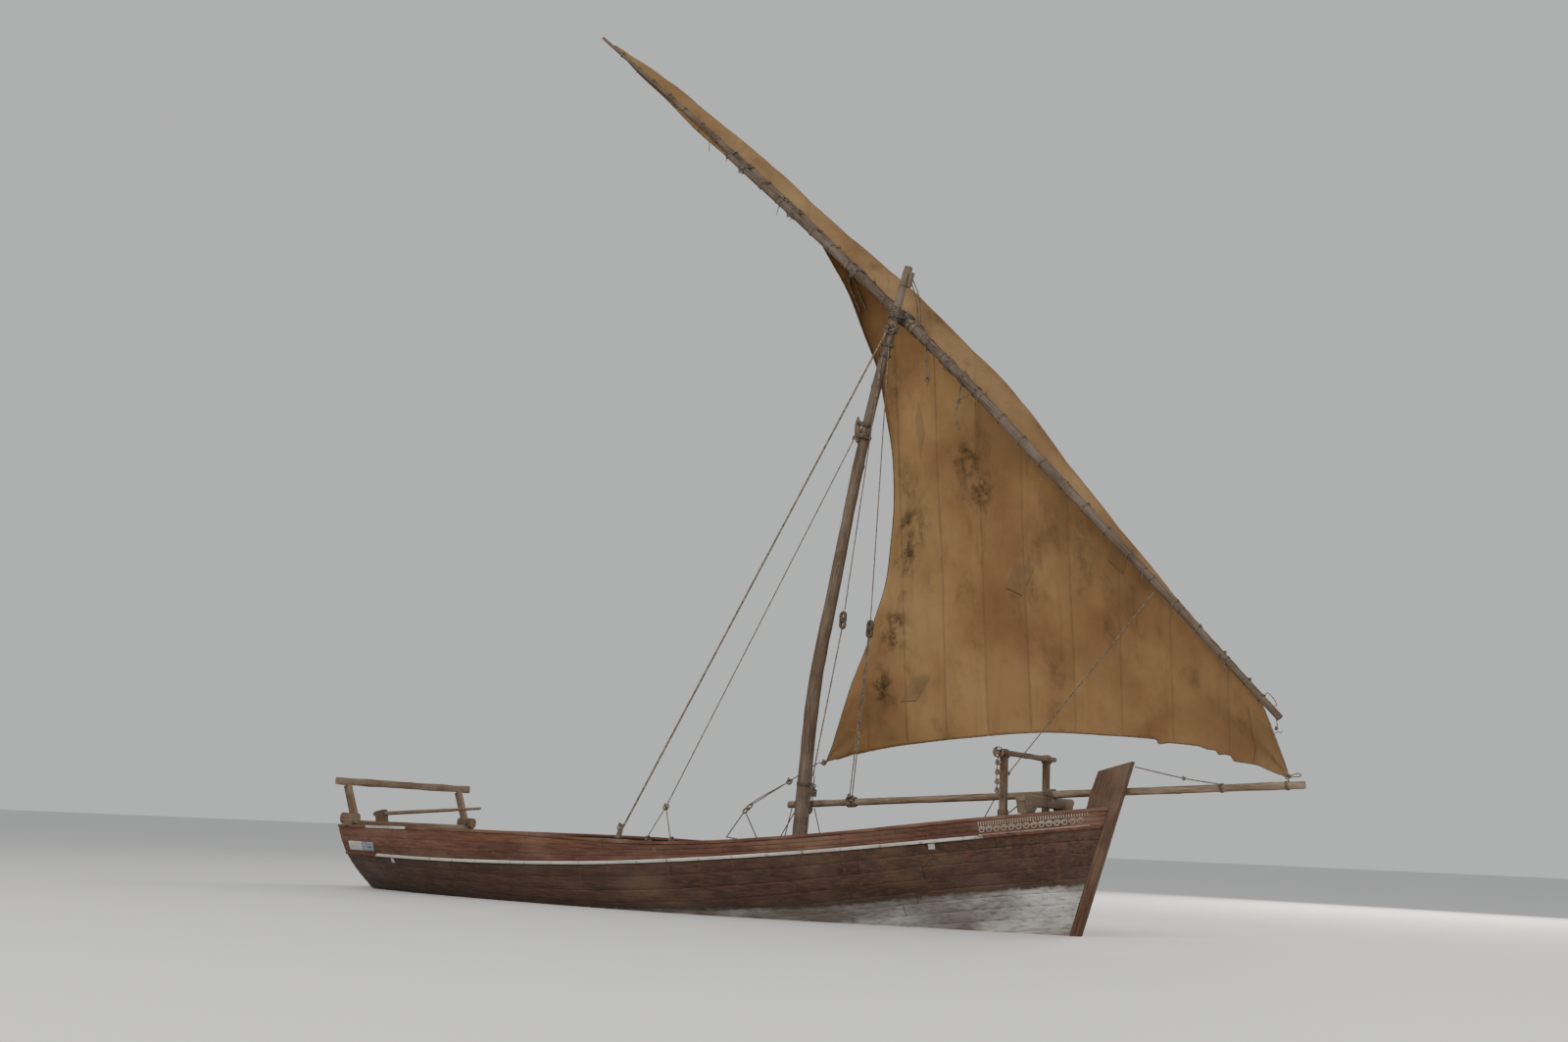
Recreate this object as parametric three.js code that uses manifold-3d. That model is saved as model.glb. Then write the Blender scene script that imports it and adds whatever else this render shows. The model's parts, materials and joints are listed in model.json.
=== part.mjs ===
// Wooden sailing dhow with one forward-raked mast and a lateen sail set on the port side of it.
// Millimetres. +X to the bow, +Y to port, +Z up, z = 0 at the waterline, origin amidships on it.
import * as THREE from "three";
import { mergeVertices } from "three/addons/utils/BufferGeometryUtils.js";
import Module from "manifold-3d";

const wasm = await Module();
wasm.setup();

// Clearances between touching pieces, and between a moving piece and a fixed one.
const SEAT = 0.3;
const RUNNING = 8;

// Hull: the ends are raked planes, x at the waterline and x gained for each unit of height.
const STERN_X = -5620;
const STERN_RAKE = -0.23;
const STEM_X = 6250;
const STEM_RAKE = 0.3116;
const RABBET_SETBACK = 130;
const STEM_DEPTH = 430;
const KEEL_BOTTOM = -850;
const KEEL_SCARF_X = 5250;
const KEEL_TOP_ABOVE_RABBET = 75;
const KEELSON = { aft: -4900, fore: 4900, half: 80, top: 280 };
const CENTRE_HALF = 65;
const PLANK = 45;
const FRAME_DEPTH = 70;
const FRAME_WIDTH = 60;
const FRAME_SPACING = 500;
const FIRST_FRAME_X = -4950;
const FRAME_COUNT = 21;
const SHELF = { below: 206, height: 60, inner: 155 };
const BEAM_HALF = 1880;
const TRANSOM_HALF = 1290;
const RABBET_HALF = 70;
const WIDEST_AT = 0.42;
const FLOOR_RISE = 1.3;
const LEVELS = [0, 0.06, 0.14, 0.25, 0.4, 0.6, 0.8, 1, 1.25];
const STATIONS = 20;
const END_OVERRUN = 0.005;

// Heights along the hull: x, z.
const SHEER = [
  [-5900, 990],
  [-2000, 1003],
  [900, 955],
  [3200, 1148],
  [5000, 1400],
  [6700, 1645],
];
const STRIPE = [
  [-5900, 553],
  [-2700, 548],
  [0, 635],
  [3000, 895],
  [5300, 1200],
  [6700, 1405],
];
const RABBET = [
  [-5600, -350],
  [-4800, -455],
  [-3600, -590],
  [-2400, -640],
  [4600, -640],
  [6000, -560],
];

// Rails and strakes, as insets from the outer face of the planking and heights.
const GUNWALE = { proud: 15, inner: 95, height: 45 };
const STRAKE = { proud: 28, half: 22 };

// Decks: x range, depth of the top below the sheer, board thickness.
const POOP = { aft: -6500, fore: -2290, below: 60, board: 35 };
const FOREDECK = { aft: 1620, fore: 7000, below: 60, board: 35 };
const FLOOR = { aft: -5060, fore: 5160, top: 540, board: 40 };
const BEAM_TIMBER = { half: 40, height: 110 };
const MAST_BEAM = { x: 1700, half: 78 };
const POOP_BEAMS = [-4700, -4200, -3700, -3200, -2332];
const FORE_BEAMS = [2300, 3300, 4300, 5300];

// Mast: a natural pole, x and z of its centre line from heel to head, and its radii.
const MAST_LINE = [
  [1884, -275],
  [1980, 1150],
  [2130, 3220],
  [2385, 4620],
  [2830, 6920],
  [3250, 8600],
  [3440, 9260],
];
const MAST_RADIUS = { heel: 112, head: 62 };

// The yard swings about a line from the mast's foot to the sling; a smooth journal there carries it.
const SLING = [3250, 0, 8600];
const SWING_FOOT = [1976, 0, 1148];
const SWING_TILT = Math.atan2(SLING[0] - SWING_FOOT[0], SLING[2] - SWING_FOOT[2]);
const JOURNAL = { radius: 78, half: 110, sides: 32 };

// Yard: its two ends and how far its middle bows upward.
const YARD_LOW = [8785, 150, 2793];
const YARD_PEAK = [-2845, 350, 14365];
const YARD_BOW = 250;

// The two spars lie side by side along the splice. Rows: share of the yard from its low end, then the
// lift over the yard's line, the offset to port, or the radius there.
const LOWER_SPAR = {
  from: 0,
  to: 0.765,
  lift: [[0, -20], [0.05, -35], [0.3, -35], [0.42, 8], [0.6, 0], [0.765, -35]],
  side: [[0, 0], [0.25, 0], [0.4, -35], [0.765, -35]],
  radius: [[0, 46], [0.12, 53], [0.25, 67], [0.45, 70], [0.765, 50]],
};
const UPPER_SPAR = {
  from: 0.385,
  to: 1,
  lift: [[0.385, -35], [0.6, 10], [0.765, 15], [1, 0]],
  side: [[0.385, 100], [0.765, 100], [0.95, 0], [1, 0]],
  radius: [[0.385, 60], [0.6, 68], [0.72, 62], [0.81, 42], [1, 26]],
};
const LASHING = { at: [0.42, 0.56, 0.66, 0.74], half: 65, turns: 14 };

// Sail: its head lies along the port side of the spars, from the low end nearly to the peak.
const HEAD = {
  top: 0.985,
  lift: [[0, -10], [0.05, -20], [0.3, -20], [0.42, -10], [0.6, 10], [0.765, 15], [1, 0]],
  side: [
    [0, 42], [0.12, 49], [0.25, 63], [0.34, 65], [0.41, 150], [0.49, 165], [0.55, 174],
    [0.62, 180], [0.68, 176], [0.74, 160], [0.8, 126], [0.8575, 84], [0.95, 27], [1, 22],
  ],
};
const TACK = [8857, 190, 2060];
const CLEW = [939, 2350, 2277];
const FOOT_MIDDLE = [
  [7500, 1070, 2480],
  [4400, 2290, 2731],
  [1740, 2415, 2465],
];
const LEECH_MIDDLE = [
  [1242, 2396, 3290],
  [1856, 2380, 4986],
  [2114, 2122, 6655],
  [2089, 1563, 8210],
  [1930, 1080, 9110],
  [1340, 600, 10420],
  [300, 520, 11300],
  [-1200, 450, 12720],
];

// The wind blows the cloth out one way: how far near the head and near the free edge. The clew hangs
// from the head's share clewAt. A point of the free edge pulls on the head over reach to each side of
// it; the leech hangs lower than its share of the head by sag, and its pull leans inward by lean.
const BELLY = {
  way: [0.45, 0.7, 0.52],
  clewAt: 0.4,
  reach: 0.16,
  sag: 0.744,
  lean: 0.33,
  head: [
    [0, 50], [0.12, 340], [0.25, 1000], [0.36, 1800], [0.5, 1850], [0.6, 1300],
    [0.68, 850], [0.78, 580], [0.88, 420], [1, 50],
  ],
  edge: [
    [0, 50], [0.12, 300], [0.25, 500], [0.4, 600], [0.5, 700], [0.6, 500],
    [0.68, 340], [0.78, 420], [0.88, 320], [1, 30],
  ],
};
const SAIL_THICK = 14;

// Bowsprit centre line and radius.
const BOWSPRIT_HEEL = [1670, 168, 1545];
const BOWSPRIT_TIP = [9080, 112, 1970];
const BOWSPRIT_RADIUS = 50;

// Stern-hung rudder: its axis is parallel to the transom, aft of the stern post.
const POST_DEPTH = 150;
const AXIS_OFF_POST = 46;
const RUDDER_HALF = 30;
const PIN = { radius: 15.5, bore: 16.5, eye: 34 };
const GUDGEON_HEIGHTS = [-560, 420];

const paint = {
  hull: { color: 0x3a2115, roughness: 0.8, metalness: 0 },
  strake: { color: 0x5a2a18, roughness: 0.7, metalness: 0 },
  white: { color: 0xb9b4a6, roughness: 0.8, metalness: 0 },
  deck: { color: 0x6d5a44, roughness: 0.9, metalness: 0 },
  timber: { color: 0x4a3422, roughness: 0.85, metalness: 0 },
  pole: { color: 0x5b4630, roughness: 0.85, metalness: 0 },
  iron: { color: 0x3b3029, roughness: 0.7, metalness: 0.6 },
  canvas: { color: 0xa98c62, roughness: 0.95, metalness: 0 },
  rope: { color: 0x6a5a42, roughness: 0.95, metalness: 0 },
};

const dhow = new THREE.Group();

// Solids

function solid(geometry) {
  const bare = geometry.clone();
  bare.deleteAttribute("normal");
  bare.deleteAttribute("uv");
  const merged = mergeVertices(bare, 1e-3);
  return new wasm.Manifold(
    new wasm.Mesh({
      numProp: 3,
      vertProperties: new Float32Array(merged.attributes.position.array),
      triVerts: new Uint32Array(merged.index.array),
    }),
  );
}

function geometryOf(manifold) {
  const mesh = manifold.getMesh();
  const geometry = new THREE.BufferGeometry();
  geometry.setAttribute("position", new THREE.BufferAttribute(mesh.vertProperties, 3));
  geometry.setIndex(new THREE.BufferAttribute(mesh.triVerts, 1));
  geometry.computeVertexNormals();
  return geometry;
}

function join(first, ...others) {
  return others.reduce((sum, other) => sum.add(other), first);
}

function cut(first, ...others) {
  return others.reduce((rest, other) => rest.subtract(other), first);
}

function put(name, body, finish) {
  const mesh = new THREE.Mesh(geometryOf(body), new THREE.MeshStandardMaterial(finish));
  mesh.name = name;
  dhow.add(mesh);
}

// A box of unit size whose points are moved by map(a, b, c), each from 0 to 1.
function warped(na, nb, nc, map) {
  const geometry = new THREE.BoxGeometry(1, 1, 1, na, nb, nc);
  const place = geometry.attributes.position;
  for (let i = 0; i < place.count; i++) {
    const point = map(place.getX(i) + 0.5, place.getY(i) + 0.5, place.getZ(i) + 0.5);
    place.setXYZ(i, ...point);
  }
  return solid(geometry);
}

function mix(low, high, t) {
  return low + (high - low) * t;
}

function box(low, high) {
  return warped(1, 1, 1, (a, b, c) => [
    mix(low[0], high[0], a),
    mix(low[1], high[1], b),
    mix(low[2], high[2], c),
  ]);
}

// A flat outline in the XZ plane, as thick as 2 x half across the boat.
function plate(outline, half) {
  const shape = new THREE.Shape(outline.map(([x, z]) => new THREE.Vector2(x, z)));
  const geometry = new THREE.ExtrudeGeometry(shape, { depth: 2 * half, bevelEnabled: false });
  return solid(geometry.rotateX(Math.PI / 2).translate(0, half, 0));
}

// A flat outline in the YZ plane, from x = low to x = high.
function bulkhead(outline, low, high) {
  const shape = new THREE.Shape(outline.map(([y, z]) => new THREE.Vector2(y, z)));
  const geometry = new THREE.ExtrudeGeometry(shape, { depth: high - low, bevelEnabled: false });
  return solid(geometry.rotateX(Math.PI / 2).rotateZ(Math.PI / 2).translate(low, 0, 0));
}

// A round pole along a curve; radius(t) from 0 to 1 along it.
function pole(curve, radius, sides, steps) {
  const geometry = new THREE.CylinderGeometry(1, 1, 1, sides, steps);
  const place = geometry.attributes.position;
  const ref = new THREE.Vector3(0.02, 1, 0.03);
  const corner = new THREE.Vector3();
  for (let i = 0; i < place.count; i++) {
    const t = Math.min(1, Math.max(0, place.getY(i) + 0.5));
    const along = curve.getTangentAt(t);
    const side = new THREE.Vector3().crossVectors(along, ref).normalize();
    const other = new THREE.Vector3().crossVectors(side, along);
    corner.copy(curve.getPointAt(t));
    corner.addScaledVector(side, place.getX(i) * radius(t));
    corner.addScaledVector(other, place.getZ(i) * radius(t));
    place.setXYZ(i, corner.x, corner.y, corner.z);
  }
  return solid(geometry);
}

function curveOf(points) {
  return new THREE.CatmullRomCurve3(points.map((p) => new THREE.Vector3(...p)));
}

function line(from, to) {
  return new THREE.LineCurve3(new THREE.Vector3(...from), new THREE.Vector3(...to));
}

function rope(points, radius, steps = 1) {
  const curve = points.length === 2 ? line(...points) : curveOf(points);
  return pole(curve, () => radius, 8, steps);
}

// A squared timber from one point to another, its width across the boat.
function timber(from, to, width, depth) {
  const start = new THREE.Vector3(...from);
  const end = new THREE.Vector3(...to);
  const along = new THREE.Vector3().subVectors(end, start).normalize();
  const upright = Math.abs(along.z) > 0.7;
  const side = upright ? new THREE.Vector3(0, 1, 0) : new THREE.Vector3(0, 0, 1).cross(along);
  side.addScaledVector(along, -side.dot(along)).normalize();
  const third = new THREE.Vector3().crossVectors(along, side);
  return warped(1, 1, 1, (a, b, c) => {
    const point = start.clone().lerp(end, a);
    point.addScaledVector(side, (b - 0.5) * width);
    point.addScaledVector(third, (c - 0.5) * depth);
    return point.toArray();
  });
}

// A round bar on the Z axis.
function cylinder(radius, low, high, sides = 14) {
  const geometry = new THREE.CylinderGeometry(radius, radius, high - low, sides);
  return solid(geometry.rotateX(Math.PI / 2).translate(0, 0, (low + high) / 2));
}

function ball(centre, radii) {
  const geometry = new THREE.SphereGeometry(1, 8, 6);
  return solid(geometry.scale(...radii).translate(...centre));
}

// Hull surface

function heights(rows) {
  const xs = rows.map((row) => row[0]);
  const zs = rows.map((row) => row[1]);
  const curve = new THREE.CubicInterpolant(xs, zs, 1);
  return (x) => curve.evaluate(x)[0];
}

const sheerAt = heights(SHEER);
const stripeAt = heights(STRIPE);
const rabbetAt = heights(RABBET);
const sternAt = (z) => STERN_X + STERN_RAKE * z;
const stemAt = (z) => STEM_X + STEM_RAKE * z;

// Station u runs from the transom plane, 0, to the stem rabbet, 1.
function section(u) {
  const fore = Math.max(0, (u - WIDEST_AT) / (1 - WIDEST_AT));
  const aft = Math.max(0, (WIDEST_AT - u) / WIDEST_AT);
  const rabbet = rabbetAt(mix(-5482, 5933, u));
  const sheer = sheerAt(mix(-5850, 6500, u));
  if (fore > 0) {
    const half = mix(RABBET_HALF, BEAM_HALF, Math.max(0, 1 - fore ** 2.9) ** 0.9);
    return { half, rabbet, sheer, fullness: mix(3.3, 1.2, fore * fore * (3 - 2 * fore)) };
  }
  return { half: mix(BEAM_HALF, TRANSOM_HALF, aft ** 2.2), rabbet, sheer, fullness: mix(3.3, 2, aft) };
}

// The hull as a closed volume with its surface moved in by inset. It runs a little past both ends.
function hull(inset) {
  const rows = LEVELS.length - 1;
  return warped(STATIONS, 1, rows, (a, b, c) => {
    const u = mix(-END_OVERRUN, 1 + END_OVERRUN, a);
    const { half, rabbet, sheer, fullness } = section(u);
    const t = LEVELS[Math.round(c * rows)];
    const bottom = rabbet + FLOOR_RISE * inset;
    const z = bottom + (sheer - bottom) * t;
    const swell = 1 - Math.max(0, 1 - t) ** fullness;
    const y = Math.max(8, mix(RABBET_HALF, half, swell) - inset);
    return [mix(sternAt(z), stemAt(z) - RABBET_SETBACK, u), b < 0.5 ? -y : y, z];
  });
}

// All that lies between the transom plane and the stem rabbet.
const hullLength = warped(1, 1, 1, (a, b, c) => {
  const z = mix(-1500, 3500, c);
  return [a < 0.5 ? sternAt(z) : stemAt(z) - RABBET_SETBACK, mix(-2600, 2600, b), z];
});

// What lies between two heights, each a function of x.
function band(low, high) {
  return warped(30, 1, 1, (a, b, c) => {
    const x = mix(-7000, 8000, a);
    return [x, mix(-2600, 2600, b), c < 0.5 ? low(x) : high(x)];
  });
}

function shell(outer, inner) {
  return cut(hull(outer).intersect(hullLength), hull(inner));
}

function between(x0, x1) {
  return box([x0, -2600, -1500], [x1, 2600, 3500]);
}

const sides = { starboard: box([-8000, -2600, -1500], [9000, -CENTRE_HALF - SEAT, 3500]) };
sides.port = box([-8000, CENTRE_HALF + SEAT, -1500], [9000, 2600, 3500]);

const below = () => -1400;
const lowerShell = shell(0, PLANK).intersect(band(below, stripeAt));
const upperShell = shell(0, PLANK).intersect(
  band((x) => stripeAt(x) + SEAT, (x) => sheerAt(x) - GUNWALE.height - SEAT),
);
const railShell = shell(-GUNWALE.proud, GUNWALE.inner).intersect(
  band((x) => sheerAt(x) - GUNWALE.height, sheerAt),
);
const strakeShell = shell(-STRAKE.proud, -SEAT).intersect(
  band((x) => stripeAt(x) - STRAKE.half, (x) => stripeAt(x) + STRAKE.half),
);
for (const [side, half] of Object.entries(sides)) {
  put(`lower_planking_${side}`, lowerShell.intersect(half), paint.hull);
  put(`upper_strakes_${side}`, upperShell.intersect(half), paint.strake);
  put(`gunwale_${side}`, railShell.intersect(half), paint.timber);
  put(`rubbing_strake_${side}`, strakeShell.intersect(half), paint.white);
}

// Backbone

const keelTop = [];
for (let i = 0; i <= 10; i++) {
  const x = mix(KEEL_SCARF_X, -5540, i / 10);
  keelTop.push([x, rabbetAt(x) + KEEL_TOP_ABOVE_RABBET]);
}
const keelHeel = [sternAt(KEEL_BOTTOM) + SEAT, KEEL_BOTTOM];
const keelOutline = [keelHeel, [KEEL_SCARF_X, KEEL_BOTTOM], ...keelTop];
put("keel", plate(keelOutline, CENTRE_HALF), paint.hull);

const stemHead = [
  [6941, 2215],
  [6478, 2084],
  [6426, 1946],
  [6361, 1770],
  [stemAt(1640) - STEM_DEPTH, 1640],
];
const forefoot = [
  [KEEL_SCARF_X + SEAT, KEEL_BOTTOM],
  [5560, KEEL_BOTTOM],
  [5880, -730],
  [stemAt(-480), -480],
];
const stemAft = [
  [stemAt(-250) - STEM_DEPTH - 60, -250],
  [KEEL_SCARF_X + SEAT, rabbetAt(KEEL_SCARF_X) + KEEL_TOP_ABOVE_RABBET],
];
put("stem_post", plate([...forefoot, ...stemHead, ...stemAft], CENTRE_HALF), paint.timber);

const postTop = 900;
const sternPost = plate(
  [
    [sternAt(KEEL_BOTTOM) - POST_DEPTH, KEEL_BOTTOM],
    [sternAt(KEEL_BOTTOM) - SEAT, KEEL_BOTTOM],
    [sternAt(postTop) - SEAT, postTop],
    [sternAt(postTop) - POST_DEPTH, postTop],
  ],
  CENTRE_HALF,
);
put("stern_post", sternPost, paint.timber);

// Transom between the plank ends, and what lies inside it.
const TRANSOM = 60;
function sternSlab(thick, reach) {
  return warped(1, 1, 1, (a, b, c) => {
    const z = mix(-1500, 3500, c);
    return [sternAt(z) + (a < 0.5 ? -reach : thick), mix(-2600, 2600, b), z];
  });
}
const underRail = band(below, (x) => sheerAt(x) - GUNWALE.height - SEAT);
const inside = hull(PLANK + SEAT);
const transom = inside.intersect(sternSlab(TRANSOM, 0)).intersect(underRail);
const keelRaised = plate(keelOutline, CENTRE_HALF + SEAT).translate([0, 0, SEAT]);
const keelClear = join(keelRaised, keelRaised.translate([-1, 0, 0]));
put("transom", cut(transom, keelClear), paint.strake);

// Keelson on the keel, and the side frames above the floor, joined by the beam shelf

const keelsonBar = warped(12, 1, 1, (a, b, c) => {
  const x = mix(KEELSON.aft, KEELSON.fore, a);
  return [x, mix(-KEELSON.half, KEELSON.half, b), rabbetAt(x) + (c < 0.5 ? 0 : KEELSON.top)];
});
put("keelson", cut(keelsonBar.intersect(inside), keelClear), paint.timber);

const frameShell = cut(inside, hull(PLANK + FRAME_DEPTH));
const shelfShell = cut(hull(PLANK + FRAME_DEPTH - 15), hull(SHELF.inner));
const shelfSpan = box([FIRST_FRAME_X - 30, -2600, -1500], [5080, 2600, 3500]);
const shelf = shelfShell.intersect(shelfSpan).intersect(
  band((x) => sheerAt(x) - SHELF.below - SHELF.height, (x) => sheerAt(x) - SHELF.below),
);
const underDeck = band(() => FLOOR.top + SEAT, (x) => sheerAt(x) - POOP.below - POOP.board - SEAT);
const underGunwale = band(() => FLOOR.top + SEAT, (x) => sheerAt(x) - GUNWALE.height - SEAT);
const slices = { open: [], decked: [] };
for (let i = 0; i < FRAME_COUNT; i++) {
  const x = FIRST_FRAME_X + i * FRAME_SPACING;
  const place = x < POOP.fore || x > FOREDECK.aft ? "decked" : "open";
  slices[place].push(between(x - FRAME_WIDTH / 2, x + FRAME_WIDTH / 2));
}
const frames = join(
  shelf,
  frameShell.intersect(join(...slices.open)).intersect(underGunwale),
  frameShell.intersect(join(...slices.decked)).intersect(underDeck),
);
for (const [side, half] of Object.entries(sides)) {
  put(`frames_${side}`, frames.intersect(half), paint.timber);
}

// Mast, its step and its partners

const mastCurve = curveOf(MAST_LINE.map(([x, z]) => [x, 0, z]));
function mastBody(extra, sides = 12) {
  const radius = (t) => mix(MAST_RADIUS.heel, MAST_RADIUS.head, t ** 1.3) + extra;
  return pole(mastCurve, radius, sides, 14);
}
const atSling = new THREE.Matrix4().makeRotationY(SWING_TILT).setPosition(...SLING).toArray();
function journal(extra, half) {
  return cylinder(JOURNAL.radius + extra, -half, half, JOURNAL.sides).transform(atSling);
}
const mastClear = mastBody(SEAT);
put("mast", join(mastBody(0), journal(0, JOURNAL.half)), paint.pole);
const stepTop = rabbetAt(1885) + KEELSON.top + 130;
const step = box([1600, -115, stepTop - 160], [2180, 115, stepTop]);
put("mast_step", cut(step, mastClear, keelsonBar.translate([0, 0, SEAT])), paint.timber);

// Decks and floor

const stemClear = plate([...forefoot, ...stemHead, ...stemAft], CENTRE_HALF + SEAT);
const clearStem = join(stemClear, stemClear.translate([-SEAT, 0, 0]));
const deckTop = (x) => sheerAt(x) - POOP.below;
const boards = inside.intersect(band((x) => deckTop(x) - POOP.board, deckTop));
const poopDeck = cut(boards.intersect(between(POOP.aft, POOP.fore)), sternSlab(TRANSOM + SEAT, 500));
put("poop_deck", poopDeck, paint.deck);
const foreDeck = cut(boards.intersect(between(FOREDECK.aft, FOREDECK.fore)), clearStem, mastBody(25));
put("fore_deck", foreDeck, paint.deck);

const floor = inside.intersect(
  box([FLOOR.aft, -2600, FLOOR.top - FLOOR.board], [FLOOR.fore, 2600, FLOOR.top]),
);
put("hold_floor", cut(floor, mastBody(20)), paint.deck);

function deckBeam(x, half) {
  const under = (at) => deckTop(at) - POOP.board - SEAT;
  const slice = between(x - half, x + half);
  return inside.intersect(band((at) => under(at) - BEAM_TIMBER.height, under)).intersect(slice);
}
function carling(y, x0, x1) {
  const under = (at) => deckTop(at) - POOP.board - SEAT;
  const slice = box([x0, y - 35, -1500], [x1, y + 35, 3500]);
  return band((at) => under(at) - 80, under).intersect(slice);
}
const poopBeams = POOP_BEAMS.map((x) => deckBeam(x, BEAM_TIMBER.half));
const poopCarlings = [-450, 450].map((y) => carling(y, POOP_BEAMS[0], POOP_BEAMS.at(-1)));
put("poop_deck_beams", join(...poopBeams, ...poopCarlings), paint.timber);
const foreBeams = FORE_BEAMS.map((x) => deckBeam(x, BEAM_TIMBER.half));
const foreCarlings = [-330, 330].map((y) => carling(y, MAST_BEAM.x, FORE_BEAMS.at(-1)));
foreBeams.push(deckBeam(MAST_BEAM.x, MAST_BEAM.half));
put("fore_deck_beams", join(...foreBeams, ...foreCarlings), paint.timber);

const deckAndBelow = band(below, (x) => deckTop(x) + SEAT);
const partners = box([1680, -230, deckTop(1680) - 60], [2260, 230, deckTop(1970) + 85]);
put("mast_partners", cut(partners, mastClear, deckAndBelow), paint.timber);

// Bowsprit, lashed to the mast at its heel and resting on the anchor beam

const bowspritLine = line(BOWSPRIT_HEEL, BOWSPRIT_TIP);
const bowsprit = pole(bowspritLine, () => BOWSPRIT_RADIUS, 10, 4);
const bowspritClear = pole(bowspritLine, () => BOWSPRIT_RADIUS + SEAT, 10, 4);
put("bowsprit", cut(bowsprit, mastClear), paint.pole);

const ANCHOR_BEAM = { x: 5730, half: 75, reach: 770, top: 1745 };
const railTop = sheerAt(ANCHOR_BEAM.x) - 10;
const onRail = (x) => sheerAt(x) + SEAT;
const railAndBelow = band(below, onRail);
const anchorOutline = [
  [-ANCHOR_BEAM.reach, ANCHOR_BEAM.top],
  [-ANCHOR_BEAM.reach, ANCHOR_BEAM.top - 95],
  [-700, railTop + 45],
  [-690, railTop],
  [-480, railTop],
  [-380, railTop + 90],
  [380, railTop + 90],
  [480, railTop],
  [690, railTop],
  [700, railTop + 45],
  [ANCHOR_BEAM.reach, ANCHOR_BEAM.top - 95],
  [ANCHOR_BEAM.reach, ANCHOR_BEAM.top],
];
const anchorBeam = bulkhead(
  anchorOutline,
  ANCHOR_BEAM.x - ANCHOR_BEAM.half,
  ANCHOR_BEAM.x + ANCHOR_BEAM.half,
);
put("anchor_beam", cut(anchorBeam, bowspritClear, railAndBelow), paint.timber);

// Bow frame: two posts on the fore deck and a rail across them

const BOW_FRAME = { x: 5440, y: 655, width: 92, top: 2235, railReach: 900 };
for (const [side, sign] of [
  ["starboard", -1],
  ["port", 1],
]) {
  const y = sign * BOW_FRAME.y;
  const foot = [BOW_FRAME.x, y, deckTop(BOW_FRAME.x) - 40];
  const post = timber(foot, [BOW_FRAME.x, y, BOW_FRAME.top - SEAT], BOW_FRAME.width, BOW_FRAME.width);
  put(`bow_post_${side}`, cut(post, deckAndBelow), paint.timber);
}
const bowRail = box(
  [BOW_FRAME.x - 45, -BOW_FRAME.railReach, BOW_FRAME.top],
  [BOW_FRAME.x + 45, BOW_FRAME.railReach, BOW_FRAME.top + 70],
);
put("bow_rail", bowRail, paint.timber);

// Stern: a sill over both rails, raked posts and the taffrail

const SILL = { aft: -5640, fore: -5440, reach: 1400, height: 85 };
const sillLow = sheerAt(-5500) - 15;
const sill = box([SILL.aft, -SILL.reach, sillLow], [SILL.fore, SILL.reach, sillLow + SILL.height]);
put("stern_sill", cut(sill, railAndBelow), paint.timber);
const TAFFRAIL = { y: 1270, width: 100, foot: -5510, top: -5735, z: 1600, reach: 1500, height: 120 };
const sillTop = sillLow + SILL.height + SEAT;
const levels = box([-7000, -2000, sillTop], [-4000, 2000, TAFFRAIL.z - SEAT]);
for (const [side, sign] of [
  ["starboard", -1],
  ["port", 1],
]) {
  const y = sign * TAFFRAIL.y;
  const slope = (TAFFRAIL.top - TAFFRAIL.foot) / (TAFFRAIL.z - sillTop);
  const from = [TAFFRAIL.foot - slope * 100, y, sillTop - 100];
  const to = [TAFFRAIL.top + slope * 100, y, TAFFRAIL.z + 100];
  const post = timber(from, to, TAFFRAIL.width, TAFFRAIL.width).intersect(levels);
  put(`taffrail_post_${side}`, post, paint.timber);
}
const railMiddle = [
  [TAFFRAIL.top, -TAFFRAIL.reach, TAFFRAIL.z + TAFFRAIL.height / 2],
  [TAFFRAIL.top, TAFFRAIL.reach, TAFFRAIL.z + TAFFRAIL.height / 2],
];
const taffrail = box(
  [railMiddle[0][0] - 55, -TAFFRAIL.reach, TAFFRAIL.z],
  [railMiddle[0][0] + 55, TAFFRAIL.reach, TAFFRAIL.z + TAFFRAIL.height],
);
put("taffrail", taffrail, paint.timber);

// Rudder, made upright about its axis and then raked with the stern post

const rake = Math.atan(STERN_RAKE);
const axisX = STERN_X - (POST_DEPTH + AXIS_OFF_POST);
function raked(body) {
  const turned = new THREE.Matrix4().makeRotationY(rake).setPosition(axisX, 0, 0);
  return body.transform(turned.toArray());
}
const faceX = AXIS_OFF_POST * Math.cos(rake);
const postAft = POST_DEPTH * Math.cos(rake);
const tillerFrom = [-6390, 0, 1176];
const tillerTo = [-4050, 0, 1330];
const tillerCurve = line(tillerFrom, tillerTo);
const tiller = pole(tillerCurve, (t) => mix(38, 24, t), 8, 2);
const tillerClear = pole(tillerCurve, (t) => mix(38, 24, t) + SEAT, 8, 2);
const STOCK = -RUNNING - PIN.eye;
const blade = plate(
  [
    [STOCK, -800],
    [STOCK, 1300],
    [STOCK - 180, 1300],
    [STOCK - 200, 640],
    [STOCK - 430, 260],
    [STOCK - 520, -300],
    [STOCK - 500, -800],
  ],
  RUDDER_HALF,
);
const rudderHead = box([STOCK - 190, -62, 960], [STOCK, 62, 1300]);
put("rudder", cut(raked(join(blade, rudderHead)), tillerClear), paint.timber);
put("tiller", tiller, paint.pole);

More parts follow.
